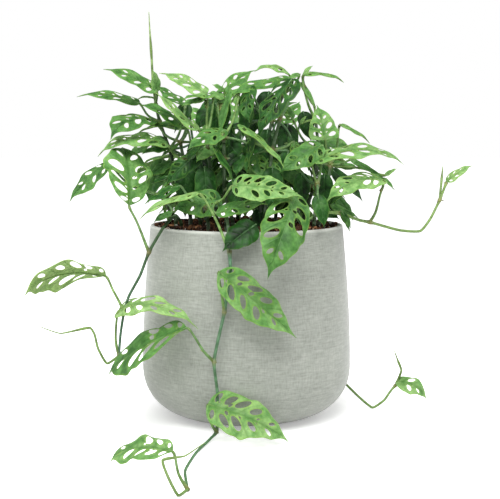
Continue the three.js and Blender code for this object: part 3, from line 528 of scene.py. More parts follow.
class Blade:
    """The place and bend of one leaf blade."""

    def __init__(self, spec):
        self.start = Vector(spec["base"])
        chord = Vector(spec["tip"]) - self.start
        self.along = chord.normalized()
        self.side = self.along.cross(Vector(spec["face"])).normalized()
        self.up = self.side.cross(self.along)
        self.bend = math.radians(spec["arch"] if abs(spec["arch"]) > 1 else 1)
        self.length = chord.length * self.bend / 2 / math.sin(self.bend / 2)
        self.half = spec["wide"] * chord.length / 2
        self.heel = spec["heel"]
        self.holed = HOLE_CHANCE if spec["holes"] is None else spec["holes"] and (spec["holes"] + 1) / 5
        self.veins = LARGE_VEINS if self.length > LARGE_LEAF else SMALL_VEINS
        self.ripple = rng.uniform(0, math.tau)
        self.hook = rng.choice((-1, 1)) * rng.uniform(*HOOKS) * HOOK * self.length
        self.twist = rng.uniform(-1, 1) * TWIST if spec["twist"] is None else math.radians(spec["twist"])

    def width(self, q, side):
        """Half the width of the blade on a line, a little less where a side vein ends."""
        lobe = 1 - LOBE * (0.5 + 0.5 * math.cos(math.tau * self.phase(q))) * math.sin(math.pi * q)
        lobe += FRAY * noise.noise(Vector((FRAY_WAVE * q, side, self.ripple)))
        return self.half * edge_width(q, self.heel) * lobe

    def flat(self, q, t):
        """A place on the blade as it would lie pressed flat."""
        out = abs(t)
        rib = q * (1 - VEIN_LEAN * (1 - q))
        edge = q - SHOULDER * math.sin(math.pi * min(1, q / SHOULDER_END))
        share = rib + (edge - rib) * ((1 - VEIN_CURVE) * out + VEIN_CURVE * out * out)
        return Vector((share * self.length, t * self.width(q, 1 if t > 0 else -1)))

    def phase(self, q):
        """Which side vein a line of the blade is, as a number that is whole on each vein."""
        for i, (low, high) in enumerate(zip(self.veins, self.veins[1:])):
            if q <= high:
                return i + (q - low) / (high - low)
        return len(self.veins) - 1

    def relief(self, q, t):
        """How far the skin swells between the veins, and how far the edge waves."""
        out = abs(t)
        scale = min(1, self.half / FULL_RELIEF)
        phase = self.phase(q)
        between = 0.5 - 0.5 * math.cos(math.tau * phase)
        swell = QUILT * scale * between * math.sin(math.pi * min(1, out * QUILT_REACH))
        rib = -RIB_DEPTH * scale * bump(out, RIB_WIDTH)
        turn = WAVE_PACE * phase + self.ripple + (WAVE_SHIFT if t < 0 else 0)
        wave = WAVE * scale * out ** 2 * math.sin(turn)
        return swell + rib + wave * math.sin(math.pi * q)

    def point(self, q, t, lift=0.0):
        """A place on the bent blade, lifted off its skin."""
        place = self.flat(q, t)
        s = place.x / self.length
        turn = self.bend / 2 - self.bend * s
        tightness = CURL / self.half
        tilt = FOLD - tightness * abs(place.y)
        across = (math.sin(FOLD) - math.sin(tilt)) / tightness * (1 if t > 0 else -1)
        rise = (math.cos(tilt) - math.cos(FOLD)) / tightness
        normal = self.up * math.cos(turn) - self.along * math.sin(turn)
        radius = self.length / self.bend
        lean = self.twist * (s - 0.5)
        side = self.side * math.cos(lean) + normal * math.sin(lean)
        normal = normal * math.cos(lean) - self.side * math.sin(lean)
        return (self.start + self.along * radius * (math.sin(self.bend / 2) - math.sin(turn))
                + self.up * radius * (math.cos(turn) - math.cos(self.bend / 2))
                + side * (across + self.hook * s * s * (1 - s) * 2)
                + normal * (rise + lift - DRIP_SAG * self.length * ease(s, DRIP_START, SAG_END)))


def oval_hole(blade, q, t, reach, across, slant):
    """An oval hole in the flat grid: its centre, and the matrix that turns a unit circle into it."""
    here = blade.flat(q, t)
    by_q = (blade.flat(q + 0.01, t) - here) / 0.01
    by_t = (blade.flat(q, t + 0.01) - here) / 0.01
    long_way = (by_t * (1 if t > 0 else -1)).normalized()
    long_way.rotate(Matrix.Rotation(-slant if t > 0 else slant, 2))
    short_way = Vector((-long_way.y, long_way.x))
    skin = Matrix(((by_q.x, by_t.x), (by_q.y, by_t.y)))
    shape = skin.inverted() @ Matrix(((long_way.x * reach, short_way.x * across),
                                      (long_way.y * reach, short_way.y * across)))
    flip = Matrix(((1, 0), (0, -1)))
    return Vector((q, -t)), flip @ shape


def blade_holes(blade):
    """The holes of a blade: large ones between the side veins and pinholes beside the midrib."""
    holes = []
    for side in (1, -1) if blade.holed else ():
        gaps = list(zip(blade.veins, blade.veins[1:]))[1:-1]
        for i, (low, high) in enumerate(gaps):
            size = rng.uniform(*HOLE_SIZES)
            middle = side * (HOLE_MIDDLE + rng.uniform(-HOLE_DRIFT[1], HOLE_DRIFT[1]))
            q = (low + high) / 2 + rng.uniform(-HOLE_DRIFT[0], HOLE_DRIFT[0])
            vein = blade.flat(q, side) - blade.flat(q, 0)
            gap = blade.flat(high, middle) - blade.flat(low, middle)
            room = abs(vein.normalized().cross(gap))
            reach = vein.length * HOLE_REACH * size
            across = min(room * HOLE_SHARE * size, reach * HOLE_ROUNDNESS)
            slant = HOLE_SLANT * rng.uniform(*HOLE_SLANTS)
            if rng.random() < blade.holed:
                holes.append(oval_hole(blade, q, middle, reach, across, slant))
            if i + 1 < len(gaps) and rng.random() < PINHOLE_CHANCE:
                small = vein.length * PINHOLE * rng.uniform(*PINHOLE_SIZES)
                place = side * rng.uniform(*PINHOLE_PLACES)
                holes.append(oval_hole(blade, high, place, small, small * PINHOLE_ROUNDNESS, 0))
    return holes


def cut_hole(bm, faces, centre, shape):
    """Cuts one oval hole in the flat grid and draws the edge of the cut onto the oval."""
    undo = shape.inverted()
    inside = [face for face in faces
              if face.is_valid and (undo @ (face.calc_center_median().xy - centre)).length < 1]
    edge = {vert for face in inside for vert in face.verts
            if any(other not in inside for other in vert.link_faces)}
    bmesh.ops.delete(bm, geom=inside, context="FACES")
    for vert in edge:
        place = undo @ (vert.co.xy - centre)
        vert.co.xy = centre + shape @ (place / max(0.3, place.length))


def add_blade(bm, blade, tone_value):
    """One blade: a flat grid along the veins, holed, then bent to its place."""
    columns, rows = next(size for length, *size in GRIDS if blade.length > length)
    grid = bmesh.ops.create_grid(bm, x_segments=columns, y_segments=rows, size=1)["verts"]
    for vert in grid:
        u = (vert.co.x + 1) / 2
        vert.co.x = EVEN_SHARE * u + (1 - EVEN_SHARE) * (0.5 - 0.5 * math.cos(math.pi * u))
    faces = list({face for vert in grid for face in vert.link_faces})
    for hole in blade_holes(blade):
        cut_hole(bm, faces, *hole)
    faces = [face for face in faces if face.is_valid]
    verts = list({vert for face in faces for vert in face.verts})
    veins = bm.loops.layers.uv["veins"]
    tone = bm.verts.layers.float["tone"]
    rim = bm.verts.layers.float["rim"]
    for face in faces:
        for loop in face.loops:
            loop[veins].uv = (blade.phase(loop.vert.co.x), loop.vert.co.y)
    for edge in {edge for face in faces for edge in face.edges}:
        edge.smooth = not edge.is_boundary
    for vert in verts:
        q, t = vert.co.x, -vert.co.y
        vert[rim] = vert.is_boundary
        vert.co = blade.point(q, t, blade.relief(q, t) * min(1, RELIEF_RISE * q * (1 - q)))
        vert[tone] = tone_value
    bmesh.ops.remove_doubles(bm, verts=verts, dist=0.01)


# ---- leafy stems ----
def line_at(share):
    """The line of a blade that leaves the midrib at this share of its length."""
    lead = 1 - VEIN_LEAN
    return (math.sqrt(lead * lead + 4 * VEIN_LEAN * share) - lead) / (2 * VEIN_LEAN)


def stalk_route(spec, blade, root):
    """From the stem to the blade and on beneath its midrib. Gives the points and where the blade starts."""
    joint = blade.start - blade.up * STALK_DROP
    sunk = STALK_SINK / blade.length
    end = blade.point(line_at(sunk), 0, -STALK_DROP)
    points = [root, *map(Vector, spec["via"]), joint, end]
    if not spec["via"]:
        knee = root.lerp(blade.start, KNEE_OUT)
        knee.z = root.z + (blade.start.z - root.z) * KNEE_UP
        points.insert(1, knee)
    route, places = smooth_route(points)
    ribs = max(5, round(blade.length / RIB_STEP))
    for i in range(ribs):
        share = sunk + RIB_START + (RIB_RUN - sunk) * i / (ribs - 1)
        route.append(blade.point(line_at(share), 0, -RIB_SINK * (1 - share) - STALK_DROP))
    return route, places[-2]


def add_spur(bm, route, place, spur):
    """A short tapered spur beside a stem or a stalk, turned at random."""
    heading = (route[place + 1] - route[place - 1]).normalized()
    out = heading.cross(Vector((rng.uniform(-1, 1), rng.uniform(-1, 1), 0.3))).normalized()
    reach = (spur["out"] * out + spur["along"] * heading) * rng.uniform(*spur["lengths"])
    points = [route[place] + reach * step / 3 for step in range(4)]
    tube(bm, points, spur["radii"], (spur["tone"],) * 4, spur["knots"], SPUR_SIDES)


def add_stalk(bm, spec, blade, root):
    """A leaf's stalk and midrib, and on large leaves the tip of the sheath."""
    route, joint = stalk_route(spec, blade, root)
    last = len(route) - 1
    radii, knots = [], []
    for i in range(len(route)):
        if i <= joint:
            run = i / joint
            neck = bump(run - NECK_PLACE, NECK_REACH)
            radii.append(STALK_RADIUS * (STALK_GIRTH + STALK_FLARE * (1 - run) ** 3 + NECK * neck))
            knots.append(FOOT_TAN * bump(i * ROUTE_STEP, FOOT_TAN_REACH) + NECK_TAN * neck)
        else:
            run = (i - joint) / (last - joint)
            radii.append(RIB_RADIUS * (1 - run) + RIB_TIP_RADIUS)
            knots.append(0)
    # A stalk takes its leaf's tone, and with it the painted shade and light that the tone carries
    tone = STALK_TONES[0] + STALK_TONES[1] * spec["tone"]
    tube(bm, route, radii, [tone] * len(route), knots, STALK_SIDES)
    if blade.length > LARGE_LEAF:
        add_spur(bm, route, round(joint * SHEATH_PLACE), SHEATH_TIP)


def add_shoot(bm, points):
    """A bare young end that thins to its tip."""
    route, _ = smooth_route(points, STEM_BEND)
    runs = [i / (len(route) - 1) for i in range(len(route))]
    radii = [SHOOT_RADIUS * (SHOOT_GIRTH - SHOOT_TAPER * run ** SHOOT_SLIMMING
                             + BUD * bump(run - BUD_PLACE, BUD_REACH)) for run in runs]
    young, tip = SHOOT_TONES
    tones = [young + (tip - young) * run for run in runs]
    tube(bm, route, radii, tones, [SHOOT_TAN] * len(runs), STALK_SIDES)


# How green each trailing stem is, from blue green (0) to yellow green (1)
VINE_TONES = {"vine_left": 0.22, "vine_front": 0.33, "vine_right": 0.68, "vine_right_rear": 0.6}


def add_stem(bm, stem, vine):
    """A stem with its knots, and with stubs of air roots where it is a trailing one."""
    points = list(map(Vector, stem["path"]))
    route, places = smooth_route(points, STEM_BEND)
    knotted = {item["node"] for item in stem["leaves"]} | {shoot[0] for shoot in stem["shoots"]}
    swells = [places[node] for node in knotted if node > 2]
    radii, tones, knots = [], [], []
    for i, place in enumerate(route):
        run = i / (len(route) - 1)
        near = max((bump((place - route[knot]).length, SWELLING_REACH) for knot in swells), default=0)
        radii.append(stem["radius"] * (STEM_GIRTH - STEM_TAPER * run + SWELLING * near))
        knots.append(SWELLING_TAN * near)
        if vine:
            green = VINE_FOOT_TONE + (vine - VINE_FOOT_TONE) * min(1, VINE_GREENING * run)
            tones.append(green + VINE_TIP_PALING * run)
        else:
            tones.append(STEM_TONES[0] + (STEM_TONES[1] - STEM_TONES[0]) * run)
    tube(bm, route, radii, tones, knots, STEM_SIDES)
    for place in swells if vine else ():
        if 0 < place < len(route) - 1:
            add_spur(bm, route, place, AIR_ROOT)


def inner_leaves():
    """Small leaves that fill the crown, dark as painted shade of its depth, each on the nearest knot of an
    upright stem, by name.
    """
    knots = [(name, node, Vector(stem["path"][node])) for name, stem in STEMS.items()
             if name.startswith("stem") for node in range(3, len(stem["path"]))]
    inner = {name: [] for name in STEMS}
    for _ in range(INNER_LEAVES):
        turn, far, high = rng.uniform(0, math.tau), math.sqrt(rng.random()), rng.uniform(-1, 1)
        spread = Vector((far * math.cos(turn), far * math.sin(turn), high * (1 - 0.5 * far)))
        base = INNER_CENTRE + spread * INNER_REACH
        out = Vector((math.cos(turn), math.sin(turn), 0))
        hang = out * rng.uniform(*HANG_OUT) + Vector((rng.gauss(0, STRAY), rng.gauss(0, STRAY), -0.8))
        tip = base + hang.normalized() * rng.uniform(*INNER_SIZES)
        name, node, _ = min((knot for knot in knots if knot[2].z < base.z + KNOT_ABOVE),
                            key=lambda knot: (knot[2] - base).length)
        face = out * 2 + Vector((rng.gauss(0, ROLL), rng.gauss(0, ROLL), 1))
        arch = rng.uniform(*INNER_ARCHES)
        wide = rng.uniform(*INNER_WIDTHS)
        # Mostly low tones: painted shade deep in the crown
        tone = INNER_TONES[0] + INNER_TONES[1] * rng.random() ** INNER_DARKNESS
        inner[name].append(leaf(base, tip, face, node, tone, arch, wide, holes=rng.choice((0, 2))))
    return inner


def build_leafy_stem(name, stem, inner, looks):
    """The blades of a stem as one piece, and its stem, stalks and midribs as another."""
    blades = layered("tone", "rim")
    blades.loops.layers.uv.new("veins")
    stalks = layered("tone", "knot")
    points = list(map(Vector, stem["path"]))
    add_stem(stalks, stem, VINE_TONES.get(name))
    for spec in stem["leaves"] + inner + stem["small"]:
        blade = Blade(spec)
        add_blade(blades, blade, spec["tone"])
        root = points[spec["node"]] if isinstance(spec["node"], int) else Vector(spec["node"])
        add_stalk(stalks, spec, blade, root)
    for node, shoot in stem["shoots"]:
        add_shoot(stalks, [points[node], *map(Vector, shoot)])
    bmesh.ops.recalc_face_normals(stalks, faces=stalks.faces)
    leaves = finish_piece(f"{name}_leaves", blades, (looks["leaf"], looks["underside"]), "foliage", name)
    solid = leaves.modifiers.new("thickness", "SOLIDIFY")
    solid.thickness = BLADE * MM
    solid.offset = 0
    solid.material_offset = 1
    solid.material_offset_rim = 1
    finish_piece(f"{name}_stalks", stalks, (looks["stalk"],), "foliage", name)


# ---- planter ----
def wall_radius(height):
    """The radius of the wall's outside: a rounded foot, a belly, and a long taper up to the rim."""
    if height >= BELLY_HEIGHT:
        rise = (height - BELLY_HEIGHT) / (POT_HEIGHT - BELLY_HEIGHT)
        return RIM_RADIUS + (BELLY_RADIUS - RIM_RADIUS) * math.cos(rise * math.pi / 2)
    turn = 1 - height / BELLY_HEIGHT
    bulge = (1 - turn ** FOOT_ROUNDNESS) ** (1 / FOOT_ROUNDNESS)
    return FOOT_RADIUS + (BELLY_RADIUS - FOOT_RADIUS) * bulge


def build_planter(look):
    """A turned wall with a rounded lip, spun round the planter's axis."""
    outside = [(wall_radius(z), z) for z in
               ((POT_HEIGHT - LIP) * (i / WALL_STEPS) ** FOOT_CROWDING for i in range(WALL_STEPS + 1))]
    lip = [(RIM_RADIUS - LIP + LIP * math.cos(turn), POT_HEIGHT - LIP + LIP * math.sin(turn))
           for turn in (math.pi / 2 * i / LIP_STEPS for i in range(1, LIP_STEPS + 1))]
    inner_lip = [(2 * RIM_RADIUS - WALL - r, z) for r, z in reversed(lip)]
    inside = [(wall_radius(z) - WALL, z) for z in INSIDE_HEIGHTS]
    bm = bmesh.new()
    profile = [(0, 0), *outside, *lip, *inner_lip, *inside, (FOOT_RADIUS, FLOOR), (0, FLOOR)]
    verts = [bm.verts.new((r, 0, z)) for r, z in profile]
    edges = [bm.edges.new(pair) for pair in zip(verts, verts[1:])]
    bmesh.ops.spin(bm, geom=verts + edges, axis=(0, 0, 1), cent=(0, 0, 0), steps=POT_SIDES,
                   angle=math.tau, use_merge=True)
    bmesh.ops.remove_doubles(bm, verts=bm.verts, dist=0.01)
    bmesh.ops.recalc_face_normals(bm, faces=bm.faces)
    finish_piece("planter_shell", bm, (look,), "planter", "planter")


# ---- soil ----
def lumps(x, y):
    """How high the soil's surface lies at a place, from -1 to 1."""
    across = x / LUMP_WAVE[0] + LUMP_SWAY[0] * math.sin(y / LUMP_SWAY_WAVE[0])
    along = y / LUMP_WAVE[1] + LUMP_SWAY[1] * math.sin(x / LUMP_SWAY_WAVE[1])
    return math.sin(across) * math.cos(along)


def scatter(name, count, smallest, largest, look):
    """Small broken lumps strewn over the soil."""
    bm = layered("tone")
    tone = bm.verts.layers.float["tone"]
    reach = RIM_RADIUS - WALL - EDGE_ROOM
    for _ in range(count):
        radius = reach * math.sqrt(rng.random())
        angle = rng.uniform(0, math.tau)
        x, y = radius * math.cos(angle), radius * math.sin(angle)
        size = smallest + (largest - smallest) * rng.random() ** 2
        turn = Matrix.Rotation(rng.uniform(0, math.tau), 4, Vector((rng.gauss(0, 1), rng.gauss(0, 1), 1)))
        shape = Matrix.Diagonal((size, size * rng.uniform(*CHIP_WIDTHS), size * rng.uniform(*CHIP_DEPTHS), 1))
        pile = PILE * rng.random() * (radius / reach) ** 2
        height = SOIL_LEVEL + LUMP * lumps(x, y) + size * CHIP_LIFT + pile
        place = Matrix.Translation((x, y, height))
        shade = rng.random()
        made = bmesh.ops.create_icosphere(bm, subdivisions=1, radius=0.5, matrix=place @ turn @ shape)
        for vert in made["verts"]:
            vert[tone] = shade
            vert.co += Vector([rng.uniform(-CHIP_DENT, CHIP_DENT) * size for _ in range(3)])
    piece = finish_piece(name, bm, (look,), "soil")
    piece.data.shade_flat()


# ---- node helpers ----
def feed(tree, socket, value):
    """Sets a socket to a constant, or links it to the socket that its value comes from."""
    if isinstance(value, bpy.types.NodeSocket):
        tree.links.new(value, socket)
    else:
        socket.default_value = value


def add(tree, kind, **settings):
    """Adds a node. A setting is one of its properties, or what feeds its socket of that name."""
    made = tree.nodes.new("ShaderNode" + kind)
    for name, value in settings.items():
        if name in made.bl_rna.properties:
            setattr(made, name, value)
        else:
            feed(tree, made.inputs[name.replace("_", " ")], value)
    return made


def calculate(tree, operation, *values, **settings):
    """Adds a Math node fed with sockets and numbers, and gives the socket of its result."""
    made = add(tree, "Math", operation=operation, **settings)
    for socket, value in zip(made.inputs, values):
        feed(tree, socket, value)
    return made.outputs[0]


def map_range(tree, value, start, end, low=0.0, high=1.0, kind="LINEAR"):
    """Runs from low to high while the value runs from start to end, and stays at them beyond."""
    made = add(tree, "MapRange", interpolation_type=kind, Value=value, From_Min=start, From_Max=end,
               To_Min=low, To_Max=high)
    return made.outputs["Result"]


def on_object(tree):
    """The place on the object that is shaded."""
    return add(tree, "TexCoord").outputs["Object"]


def attribute(tree, name):
    """A number that the mesh holds at each of its points."""
    return add(tree, "Attribute", attribute_name=name).outputs["Fac"]


def grain(tree, scale, detail):
    """Fine noise over the object."""
    return add(tree, "TexNoise", Vector=on_object(tree), Scale=scale, Detail=detail).outputs["Fac"]


def tint(code):
    """A colour from its six-digit screen code, as linear light."""
    parts = [int(code[i:i + 2], 16) / 255 for i in (0, 2, 4)]
    return [c / 12.92 if c <= 0.04045 else ((c + 0.055) / 1.055) ** 2.4 for c in parts] + [1]


def grey(value):
    """A grey of this brightness."""
    return (value, value, value, 1)


def by_tone(tree, tone, stops):
    """The colour of a tone, from a ramp of (tone, screen code) stops."""
    made = tree.nodes.new("ShaderNodeValToRGB")
    while len(made.color_ramp.elements) < len(stops):
        made.color_ramp.elements.new(1)
    for element, (place, code) in zip(made.color_ramp.elements, stops):
        element.position = place
        element.color = tint(code)
    feed(tree, made.inputs[0], tone)
    return made.outputs["Color"]


def multiply(tree, colour, *shades):
    """Dims or lifts a colour by each of the shades in turn."""
    for shade in shades:
        colour = add(tree, "VectorMath", operation="SCALE", Vector=colour, Scale=shade).outputs["Vector"]
    return colour


def blend(tree, mask, first, second, amount):
    """Mixes a second colour into the first where the mask is, up to the amount given."""
    mix = add(tree, "Mix", data_type="RGBA")
    for i, value in ((0, calculate(tree, "MULTIPLY", mask, amount)), (6, first), (7, second)):
        feed(tree, mix.inputs[i], value)
    return mix.outputs[2]


# ---- shared effects ----
def group(name, outputs, **inputs):
    """An empty shader group with these sockets, and its input and output nodes."""
    tree = bpy.data.node_groups.new(name, "ShaderNodeTree")
    for socket, value in inputs.items():
        made = tree.interface.new_socket(socket, in_out="INPUT", socket_type="NodeSocketFloat")
        made.default_value = value
    for socket in outputs:
        tree.interface.new_socket(socket, in_out="OUTPUT", socket_type="NodeSocketFloat")
    return tree, tree.nodes.new("NodeGroupInput"), tree.nodes.new("NodeGroupOutput")


def mottle_group():
    """Soft cloudy variation of brightness about 1, from the place on the object."""
    tree, source, result = group("Mottle", ("Shade",), Scale=30.0, Amount=0.2)
    clouds = add(tree, "TexNoise", Vector=on_object(tree), Scale=source.outputs["Scale"],
                 Detail=3.0, Roughness=0.55).outputs["Fac"]
    low = calculate(tree, "SUBTRACT", 1, source.outputs["Amount"])
    high = calculate(tree, "ADD", 1, source.outputs["Amount"])
    shade = map_range(tree, clouds, 0.35, 0.65, low, high)
    feed(tree, result.inputs["Shade"], shade)
    return tree


def mottled(tree, mottle, scale, amount):
    """The shade from a mottle group placed in a material."""
    return add(tree, "Group", node_tree=mottle, Scale=scale, Amount=amount).outputs["Shade"]


def vein_group():
    """The midrib, the side veins, the height of the skin and the way out to the edge, from a blade's map."""
    tree, source, result = group("Leaf Veins", ("Rib", "Veins", "Height", "Out"), Width=0.06)
    skin = add(tree, "SeparateXYZ", Vector=add(tree, "UVMap", uv_map="veins").outputs["UV"])
    out = calculate(tree, "ABSOLUTE", skin.outputs["Y"])
    rib = map_range(tree, out, 0.085, 0.015, kind="SMOOTHSTEP")
    nearest = calculate(tree, "PINGPONG", skin.outputs["X"], 0.5)
    away = map_range(tree, nearest, 0.0, source.outputs["Width"], kind="SMOOTHSTEP")
    veins = calculate(tree, "SUBTRACT", 1, away)
    height = calculate(tree, "MULTIPLY_ADD", grain(tree, 900.0, 2.0), 0.25, veins)
    for name, value in (("Rib", rib), ("Veins", veins), ("Height", height), ("Out", out)):
        feed(tree, result.inputs[name], value)
    return tree


# ---- materials ----
# Tones from 0 to 1, with the screen code of each
# On the leaf tops the low tones paint the shade deep in the crown, and the high ones partly paint the light
# on leaves that catch it
LEAF_TONES = ((0.0, "072303"), (0.22, "25551c"), (0.5, "5d8e47"), (0.75, "8eb56d"), (1.0, "b4d197"))
# The undersides are paler than the tops: partly their own paler green and partly painted light standing in
# for light through the blade onto its shaded side
UNDER_TONES = ((0.0, "2a501c"), (0.5, "6a9546"), (1.0, "abc880"))
# Midribs and side veins, darker than the lighter leaves: painted shade in their grooves
RIB_TONES = ((0.0, "35622a"), (0.3, "47783a"), (0.6, "4f8038"), (1.0, "7ca352"))
# The pale rim of a leaf: partly its own pale margin and partly a painted highlight on the edges
RIM_TONES = ((0.0, "2c5a20"), (0.5, "84ab48"), (1.0, "bcd084"))
STALK_SKIN = ((0.0, "232f1c"), (0.25, "3f5a34"), (0.32, "517a5c"), (0.6, "688c48"), (1.0, "a0bd6c"))
CEMENT = ((0.31, "8f938a"), (0.5, "a2a69d"), (0.69, "b6b9b1"))
BARK = ((0.0, "24160f"), (0.5, "432a1d"), (0.85, "70482f"), (1.0, "a07450"))
WHITE_GRAINS = ((0.0, "b9b4a8"), (1.0, "ece9e2"))
# The soil under the lumps: its own dark brown, made darker as painted shade under the crown
DARK_SOIL = ((0.0, "21150e"), (1.0, "33211a"))
KNOT_TAN = "8c7a48"
# A pale grey painted along the top of the rim: a painted highlight
LIP_HIGHLIGHT = "d3d5cd"

# How far the green of a leaf drifts from its tone, in clouds
TONE_DRIFT = 0.12

# How the threads of the cement are drawn out, and from where to where (in metres) the top of the rim is
# painted pale as a highlight
UPRIGHT_THREADS = (700, 700, 160)
LEVEL_THREADS = (90, 90, 760)
STREAKS = (16, 16, 300)
WEAVE_SHARE = 0.8
LIP_HIGHLIGHT_HEIGHTS = (0.1975, 0.2)


def new_material(name, **settings):
    """A material with a Principled shader. Settings are constant values of its sockets."""
    material = bpy.data.materials.new(name)
    material.use_nodes = True
    tree = material.node_tree
    shader = tree.nodes["Principled BSDF"]
    for socket, value in settings.items():
        shader.inputs[socket.replace("_", " ")].default_value = value
    return material, tree, shader


def dress(tree, shader, colour, height, strength, distance):
    """Gives a shader its colour, and bumps from a height."""
    bumps = add(tree, "Bump", Strength=strength, Distance=distance, Height=height)
    feed(tree, shader.inputs["Base Color"], colour)
    feed(tree, shader.inputs["Normal"], bumps.outputs["Normal"])


def leaf_material(name, tones, mottle, veins, rib_amount, vein_amount, distance, **settings):
    """Leaf skin: greens that drift in clouds about the leaf's tone, with painted shade along the midrib's
    fold and painted light out towards the edge; ribs darker on the lighter leaves as painted shade in their
    grooves; and paler rims round the edge and the holes, partly a pale margin and partly a painted highlight."""
    material, tree, shader = new_material(name, **settings)
    tone = attribute(tree, "tone")
    drift = calculate(tree, "ADD", tone, mottled(tree, mottle, 95.0, TONE_DRIFT))
    drifted = calculate(tree, "SUBTRACT", drift, 1, use_clamp=True)
    net = add(tree, "Group", node_tree=veins, Width=0.09)
    # Darker along the midrib and lighter out towards the edge: painted shade in the fold of the blade and
    # painted light on its edges
    skin = multiply(tree, by_tone(tree, drifted, tones), mottled(tree, mottle, 300.0, 0.16),
                    map_range(tree, net.outputs["Out"], 0.0, 1.0, 0.86, 1.1))
    # The rib colour is darker than the skin of the lighter leaves: painted shade in the grooves of the midrib
    # and side veins
    ribs = by_tone(tree, tone, RIB_TONES)
    # The pale rim round the edge and the holes: partly the leaf's pale margin, partly a painted highlight on
    # the edges
    skin = blend(tree, attribute(tree, "rim"), skin, by_tone(tree, tone, RIM_TONES), 0.6)
    skin = blend(tree, net.outputs["Veins"], skin, ribs, vein_amount)
    skin = blend(tree, net.outputs["Rib"], skin, ribs, rib_amount)
    dress(tree, shader, skin, net.outputs["Height"], 0.6, distance)
    return material


def stalk_material(mottle):
    """Stalk skin: blue green on the old stems, yellow green on the young ones, tan round the knots."""
    material, tree, shader = new_material("stalk_skin", Roughness=0.48, Specular_IOR_Level=0.45)
    greens = by_tone(tree, attribute(tree, "tone"), STALK_SKIN)
    skin = multiply(tree, greens, mottled(tree, mottle, 160.0, 0.2))
    skin = blend(tree, attribute(tree, "knot"), skin, tint(KNOT_TAN), 0.8)
    dress(tree, shader, skin, grain(tree, 1400.0, 2.0), 0.3, 0.0004)
    return material


def threads(tree, place, stretch, detail):
    """Noise drawn out into fine threads."""
    drawn = add(tree, "Mapping", Vector=place, Scale=stretch).outputs["Vector"]
    return add(tree, "TexNoise", Vector=drawn, Scale=1.0, Detail=detail, Roughness=0.6).outputs["Fac"]


def planter_material(mottle):
    """Pale grey-green fibre cement, with crossed threads in its skin, faint clouds and a painted highlight
    along the top of the rim.
    """
    material, tree, shader = new_material("fibre_cement", Roughness=0.75, Specular_IOR_Level=0.35,
                                          Sheen_Weight=0.8, Sheen_Roughness=0.35)
    place = on_object(tree)
    weave = calculate(tree, "MULTIPLY_ADD", threads(tree, place, UPRIGHT_THREADS, 3.0), WEAVE_SHARE,
                      threads(tree, place, LEVEL_THREADS, 3.0))
    greys = by_tone(tree, map_range(tree, weave, 0.0, 1 + WEAVE_SHARE), CEMENT)
    streaks = map_range(tree, threads(tree, place, STREAKS, 2.0), 0.35, 0.65, 0.96, 1.04)
    skin = multiply(tree, greys, mottled(tree, mottle, 9.0, 0.06), mottled(tree, mottle, 42.0, 0.03), streaks)
    # The top of the lip is painted pale: a painted highlight along the rim
    height = add(tree, "SeparateXYZ", Vector=place).outputs["Z"]
    lip_highlight = map_range(tree, height, *LIP_HIGHLIGHT_HEIGHTS, kind="SMOOTHSTEP")
    skin = blend(tree, lip_highlight, skin, tint(LIP_HIGHLIGHT), 0.8)
    dress(tree, shader, skin, weave, 0.25, 0.0004)
    return material


def crumb_material(name, mottle, shades, **settings):
    """Broken lumps, each with a shade of its own."""
    material, tree, shader = new_material(name, **settings)
    browns = by_tone(tree, attribute(tree, "tone"), shades)
    skin = multiply(tree, browns, mottled(tree, mottle, 420.0, 0.35))
    dress(tree, shader, skin, grain(tree, 1100.0, 3.0), 0.6, 0.0008)
    return material


# ---- stage ----
CAMERA_PLACE = (0.0037, -1.2, 0.2967)
CAMERA_PITCH = math.radians(84.16)
CAMERA_LENS = 82.3
SENSOR = 36
FLOOR_SIZE = 12
# Where the floor starts and stops glowing for the camera, and how much: painted light over its shadows
FLOOR_FADE = (0.07, 0.24)
FLOOR_GLOW = (0.35, 1.0)
ROOM_LIGHT = 0.3

# Soft lights: place, the point they face, width, height and power
LAMPS = {
    "top_light": ((-0.1, -0.9, 1.4), (0, 0, 0.2), 1.2, 1.0, 28),
    "left_light": ((-1.1, 0.1, 0.6), (0, 0, 0.15), 0.7, 1.2, 5),
    "right_light": ((1.1, 0.2, 0.6), (0, 0, 0.15), 0.7, 1.2, 5),
}


def build_camera():
    """The camera, level with the upper leaves and turned a little down."""
    data = bpy.data.cameras.new("camera")
    data.lens = CAMERA_LENS
    data.sensor_width = SENSOR
    camera = new_object("camera", data)
    camera.location = CAMERA_PLACE
    camera.rotation_euler = (CAMERA_PITCH, 0, 0)
    bpy.context.scene.camera = camera


def softbox(name, place, aim, width, height, power):
    """A wide soft light that faces a point."""
    data = bpy.data.lights.new(name, "AREA")
    data.shape = "RECTANGLE"
    data.size = width
    data.size_y = height
    data.energy = power
    lamp = new_object(name, data)
    lamp.location = place
    lamp.rotation_euler = (Vector(aim) - Vector(place)).to_track_quat("-Z", "Y").to_euler()


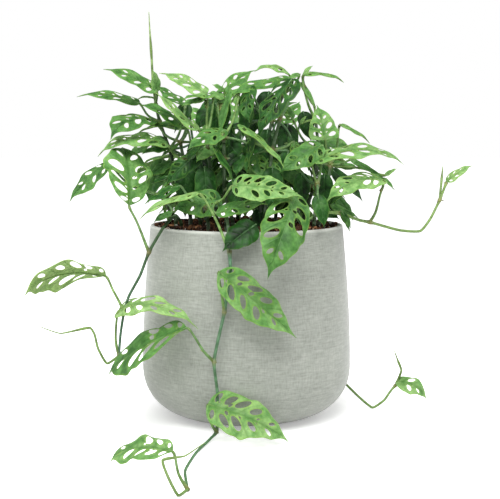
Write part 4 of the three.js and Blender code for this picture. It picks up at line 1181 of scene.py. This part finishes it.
def white_floor():
    """White paper that runs out into the white of the room, so that only the contact shadow shows. Away from
    the pot it glows for the camera alone: painted light that washes the shadows off the floor.
    """
    paper, tree, shader = new_material("white_paper", Roughness=0.9, Base_Color=grey(0.9),
                                       Emission_Color=grey(1.0))
    far = add(tree, "VectorMath", operation="LENGTH", Vector=on_object(tree)).outputs["Value"]
    glow = map_range(tree, far, *FLOOR_FADE, *FLOOR_GLOW, kind="SMOOTHSTEP")
    seen = calculate(tree, "MULTIPLY", glow, add(tree, "LightPath").outputs["Is Camera Ray"])
    feed(tree, shader.inputs["Emission Strength"], seen)
    return paper


def white_room():
    """A white room that looks brighter than the light it gives."""
    world = bpy.data.worlds.new("white_room")
    world.use_nodes = True
    tree = world.node_tree
    sky = tree.nodes["Background"]
    sky.inputs["Color"].default_value = grey(1.0)
    seen = add(tree, "LightPath").outputs["Is Camera Ray"]
    feed(tree, sky.inputs["Strength"], map_range(tree, seen, 0.0, 1.0, ROOM_LIGHT))
    bpy.context.scene.world = world


def build_stage():
    """A white floor and a white room, lit by large soft lights."""
    bm = bmesh.new()
    bmesh.ops.create_grid(bm, x_segments=1, y_segments=1, size=FLOOR_SIZE)
    mesh = bpy.data.meshes.new("floor")
    bm.to_mesh(mesh)
    bm.free()
    floor = new_object("floor", mesh)
    mesh.materials.append(white_floor())
    white_room()
    for name, lamp in LAMPS.items():
        softbox(name, *lamp)
    bpy.context.scene.view_settings.view_transform = "Standard"


# ---- the assembly ----
build_camera()
mottle = mottle_group()
veins = vein_group()
looks = {
    "leaf": leaf_material("leaf_top", LEAF_TONES, mottle, veins, 0.5, 0.18, 0.0006,
                          Roughness=0.46, Specular_IOR_Level=0.2),
    "underside": leaf_material("leaf_underside", UNDER_TONES, mottle, veins, 0.5, 0.25, 0.0008,
                               Roughness=0.6, Specular_IOR_Level=0.25),
    "stalk": stalk_material(mottle),
}
build_planter(planter_material(mottle))
scatter("bark_chips", CHIPS, *CHIP_SIZES,
        crumb_material("bark", mottle, BARK, Roughness=0.9, Specular_IOR_Level=0.25))
scatter("perlite", PERLITE, *PERLITE_SIZES,
        crumb_material("white_perlite", mottle, WHITE_GRAINS, Roughness=0.95))
soil_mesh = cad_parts["soil"].data
soil_mesh.materials.clear()
soil_mesh.materials.append(crumb_material("dark_soil", mottle, DARK_SOIL, Roughness=0.95))
inner = inner_leaves()
for name, stem in STEMS.items():
    build_leafy_stem(name, stem, inner[name], looks)
build_stage()
